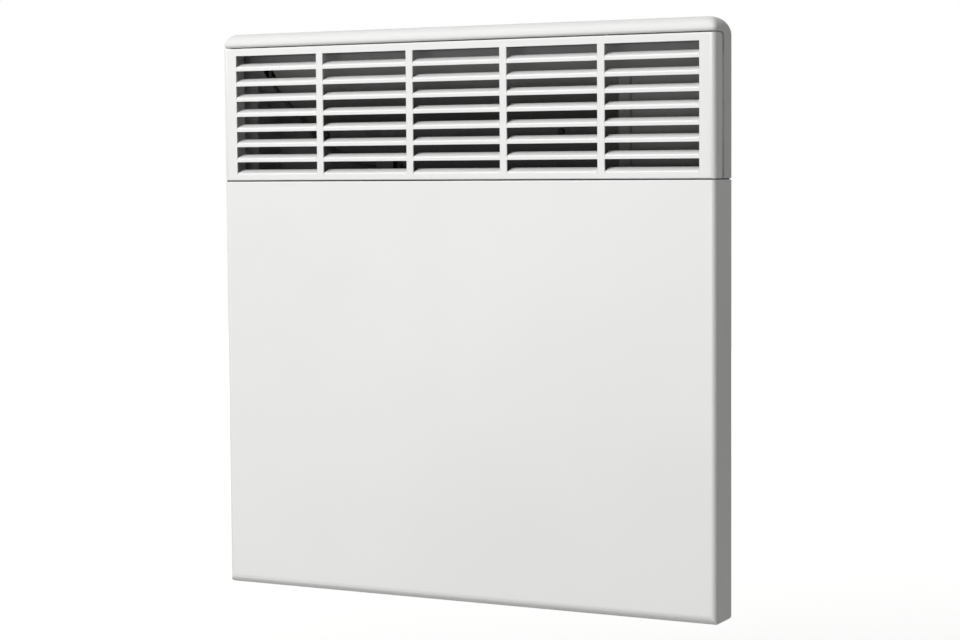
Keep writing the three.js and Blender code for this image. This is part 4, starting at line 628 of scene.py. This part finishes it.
polyamide, tree, surface = new_finish("white_moulded_polyamide")
grains_per_metre = 700.0
surface.inputs["Roughness"].default_value = 0.45
spot = add(tree, "TexCoord")
grain = add(tree, "TexNoise", {"Scale": grains_per_metre, "Detail": 2.0},
            {"Vector": spot.outputs["Object"]})
milk = add(tree, "ValToRGB", None, {"Fac": grain.outputs["Fac"]})
milk.color_ramp.elements[0].color = linear("e6e5df")
milk.color_ramp.elements[1].color = linear("efeee9")
tree.links.new(milk.outputs["Color"], surface.inputs["Base Color"])
surface.inputs["Subsurface Weight"].default_value = 0.05
surface.inputs["Subsurface Radius"].default_value = (0.002, 0.002, 0.002)
dress(polyamide, "terminal_block", "cable_clamp", "sensor_holder", "potentiometer_shaft")
smooth_folds(["terminal_block", "cable_clamp", "sensor_holder", "potentiometer_shaft"], 40)

laminate, tree, surface = new_finish("green_glass_laminate")
threads_per_metre = 900.0
surface.inputs["Roughness"].default_value = 0.35
spot = add(tree, "TexCoord")
weave = add(tree, "TexBrick", {"Scale": threads_per_metre, "Mortar Size": 0.03,
                               "Color1": linear("2b5936"), "Color2": linear("33643f"),
                               "Mortar": linear("24492d")},
            {"Vector": spot.outputs["Object"]})
tree.links.new(weave.outputs["Color"], surface.inputs["Base Color"])
dress(laminate, "circuit_board")

rubber, tree, surface = new_finish("black_moulded_rubber")
specks_per_metre = 600.0
spot = add(tree, "TexCoord")
dust = add(tree, "TexNoise", {"Scale": specks_per_metre, "Detail": 3.0},
           {"Vector": spot.outputs["Object"]})
ink = add(tree, "ValToRGB", None, {"Fac": dust.outputs["Fac"]})
ink.color_ramp.elements[0].color = linear("151516")
ink.color_ramp.elements[1].color = linear("232324")
tree.links.new(ink.outputs["Color"], surface.inputs["Base Color"])
surface.inputs["Roughness"].default_value = 0.68
dress(rubber, "cable_grommet")
smooth_folds(["cable_grommet"], 40)

# ------------------------------------------------------------------ controls on the ledge
# A moulded fascia on the ledge behind the hood, with the thermostat knob on its spindle, the
# mode slider and an amber pilot lens.
dress(moulded_white, "control_fascia", "thermostat_knob")
smooth_folds(["control_fascia", "thermostat_knob", "mode_slider", "pilot_light"], 35)

amber, tree, surface = new_finish("amber_polycarbonate_lens")
facets_per_metre = 1500.0
surface.inputs["IOR"].default_value = 1.58
surface.inputs["Roughness"].default_value = 0.12
surface.inputs["Transmission Weight"].default_value = 0.35
spot = add(tree, "TexCoord")
facets = add(tree, "TexVoronoi", {"Scale": facets_per_metre},
             {"Vector": spot.outputs["Object"]})
glow = add(tree, "ValToRGB", None, {"Fac": facets.outputs["Distance"]})
glow.color_ramp.elements[0].color = linear("c8741a")
glow.color_ramp.elements[1].color = linear("e39a3e")
tree.links.new(glow.outputs["Color"], surface.inputs["Base Color"])
dress(amber, "pilot_light")

# ------------------------------------------------------------------ screws
# Zinc-plated pan-head self-tapping screws.
zinc_plate, tree, surface = new_finish("bright_zinc_plate")
patches_per_metre = 300.0
surface.inputs["Metallic"].default_value = 1.0
surface.inputs["Roughness"].default_value = 0.27
spot = add(tree, "TexCoord")
passivate = add(tree, "TexNoise", {"Scale": patches_per_metre, "Detail": 2.0},
                {"Vector": spot.outputs["Object"]})
tone = add(tree, "ValToRGB", None, {"Fac": passivate.outputs["Fac"]})
tone.color_ramp.elements[0].color = linear("b2b5b6")
tone.color_ramp.elements[1].color = linear("cfd0cb")
tree.links.new(tone.outputs["Color"], surface.inputs["Base Color"])
screws = [name for name in cad if "_screw" in name]
dress(zinc_plate, *screws)

# The screws behind the louvres are blacked steel.
phosphate, tree, surface = new_finish("black_phosphated_steel")
blooms_per_metre = 500.0
surface.inputs["Metallic"].default_value = 0.6
surface.inputs["Roughness"].default_value = 0.55
spot = add(tree, "TexCoord")
bloom = add(tree, "TexNoise", {"Scale": blooms_per_metre, "Detail": 2.0},
            {"Vector": spot.outputs["Object"]})
soot = add(tree, "ValToRGB", None, {"Fac": bloom.outputs["Fac"]})
soot.color_ramp.elements[0].color = linear("202021")
soot.color_ramp.elements[1].color = linear("2e2e2f")
tree.links.new(soot.outputs["Color"], surface.inputs["Base Color"])
dress(phosphate, "deflector_screw_1", "deflector_screw_2")
smooth_folds(screws, 50)
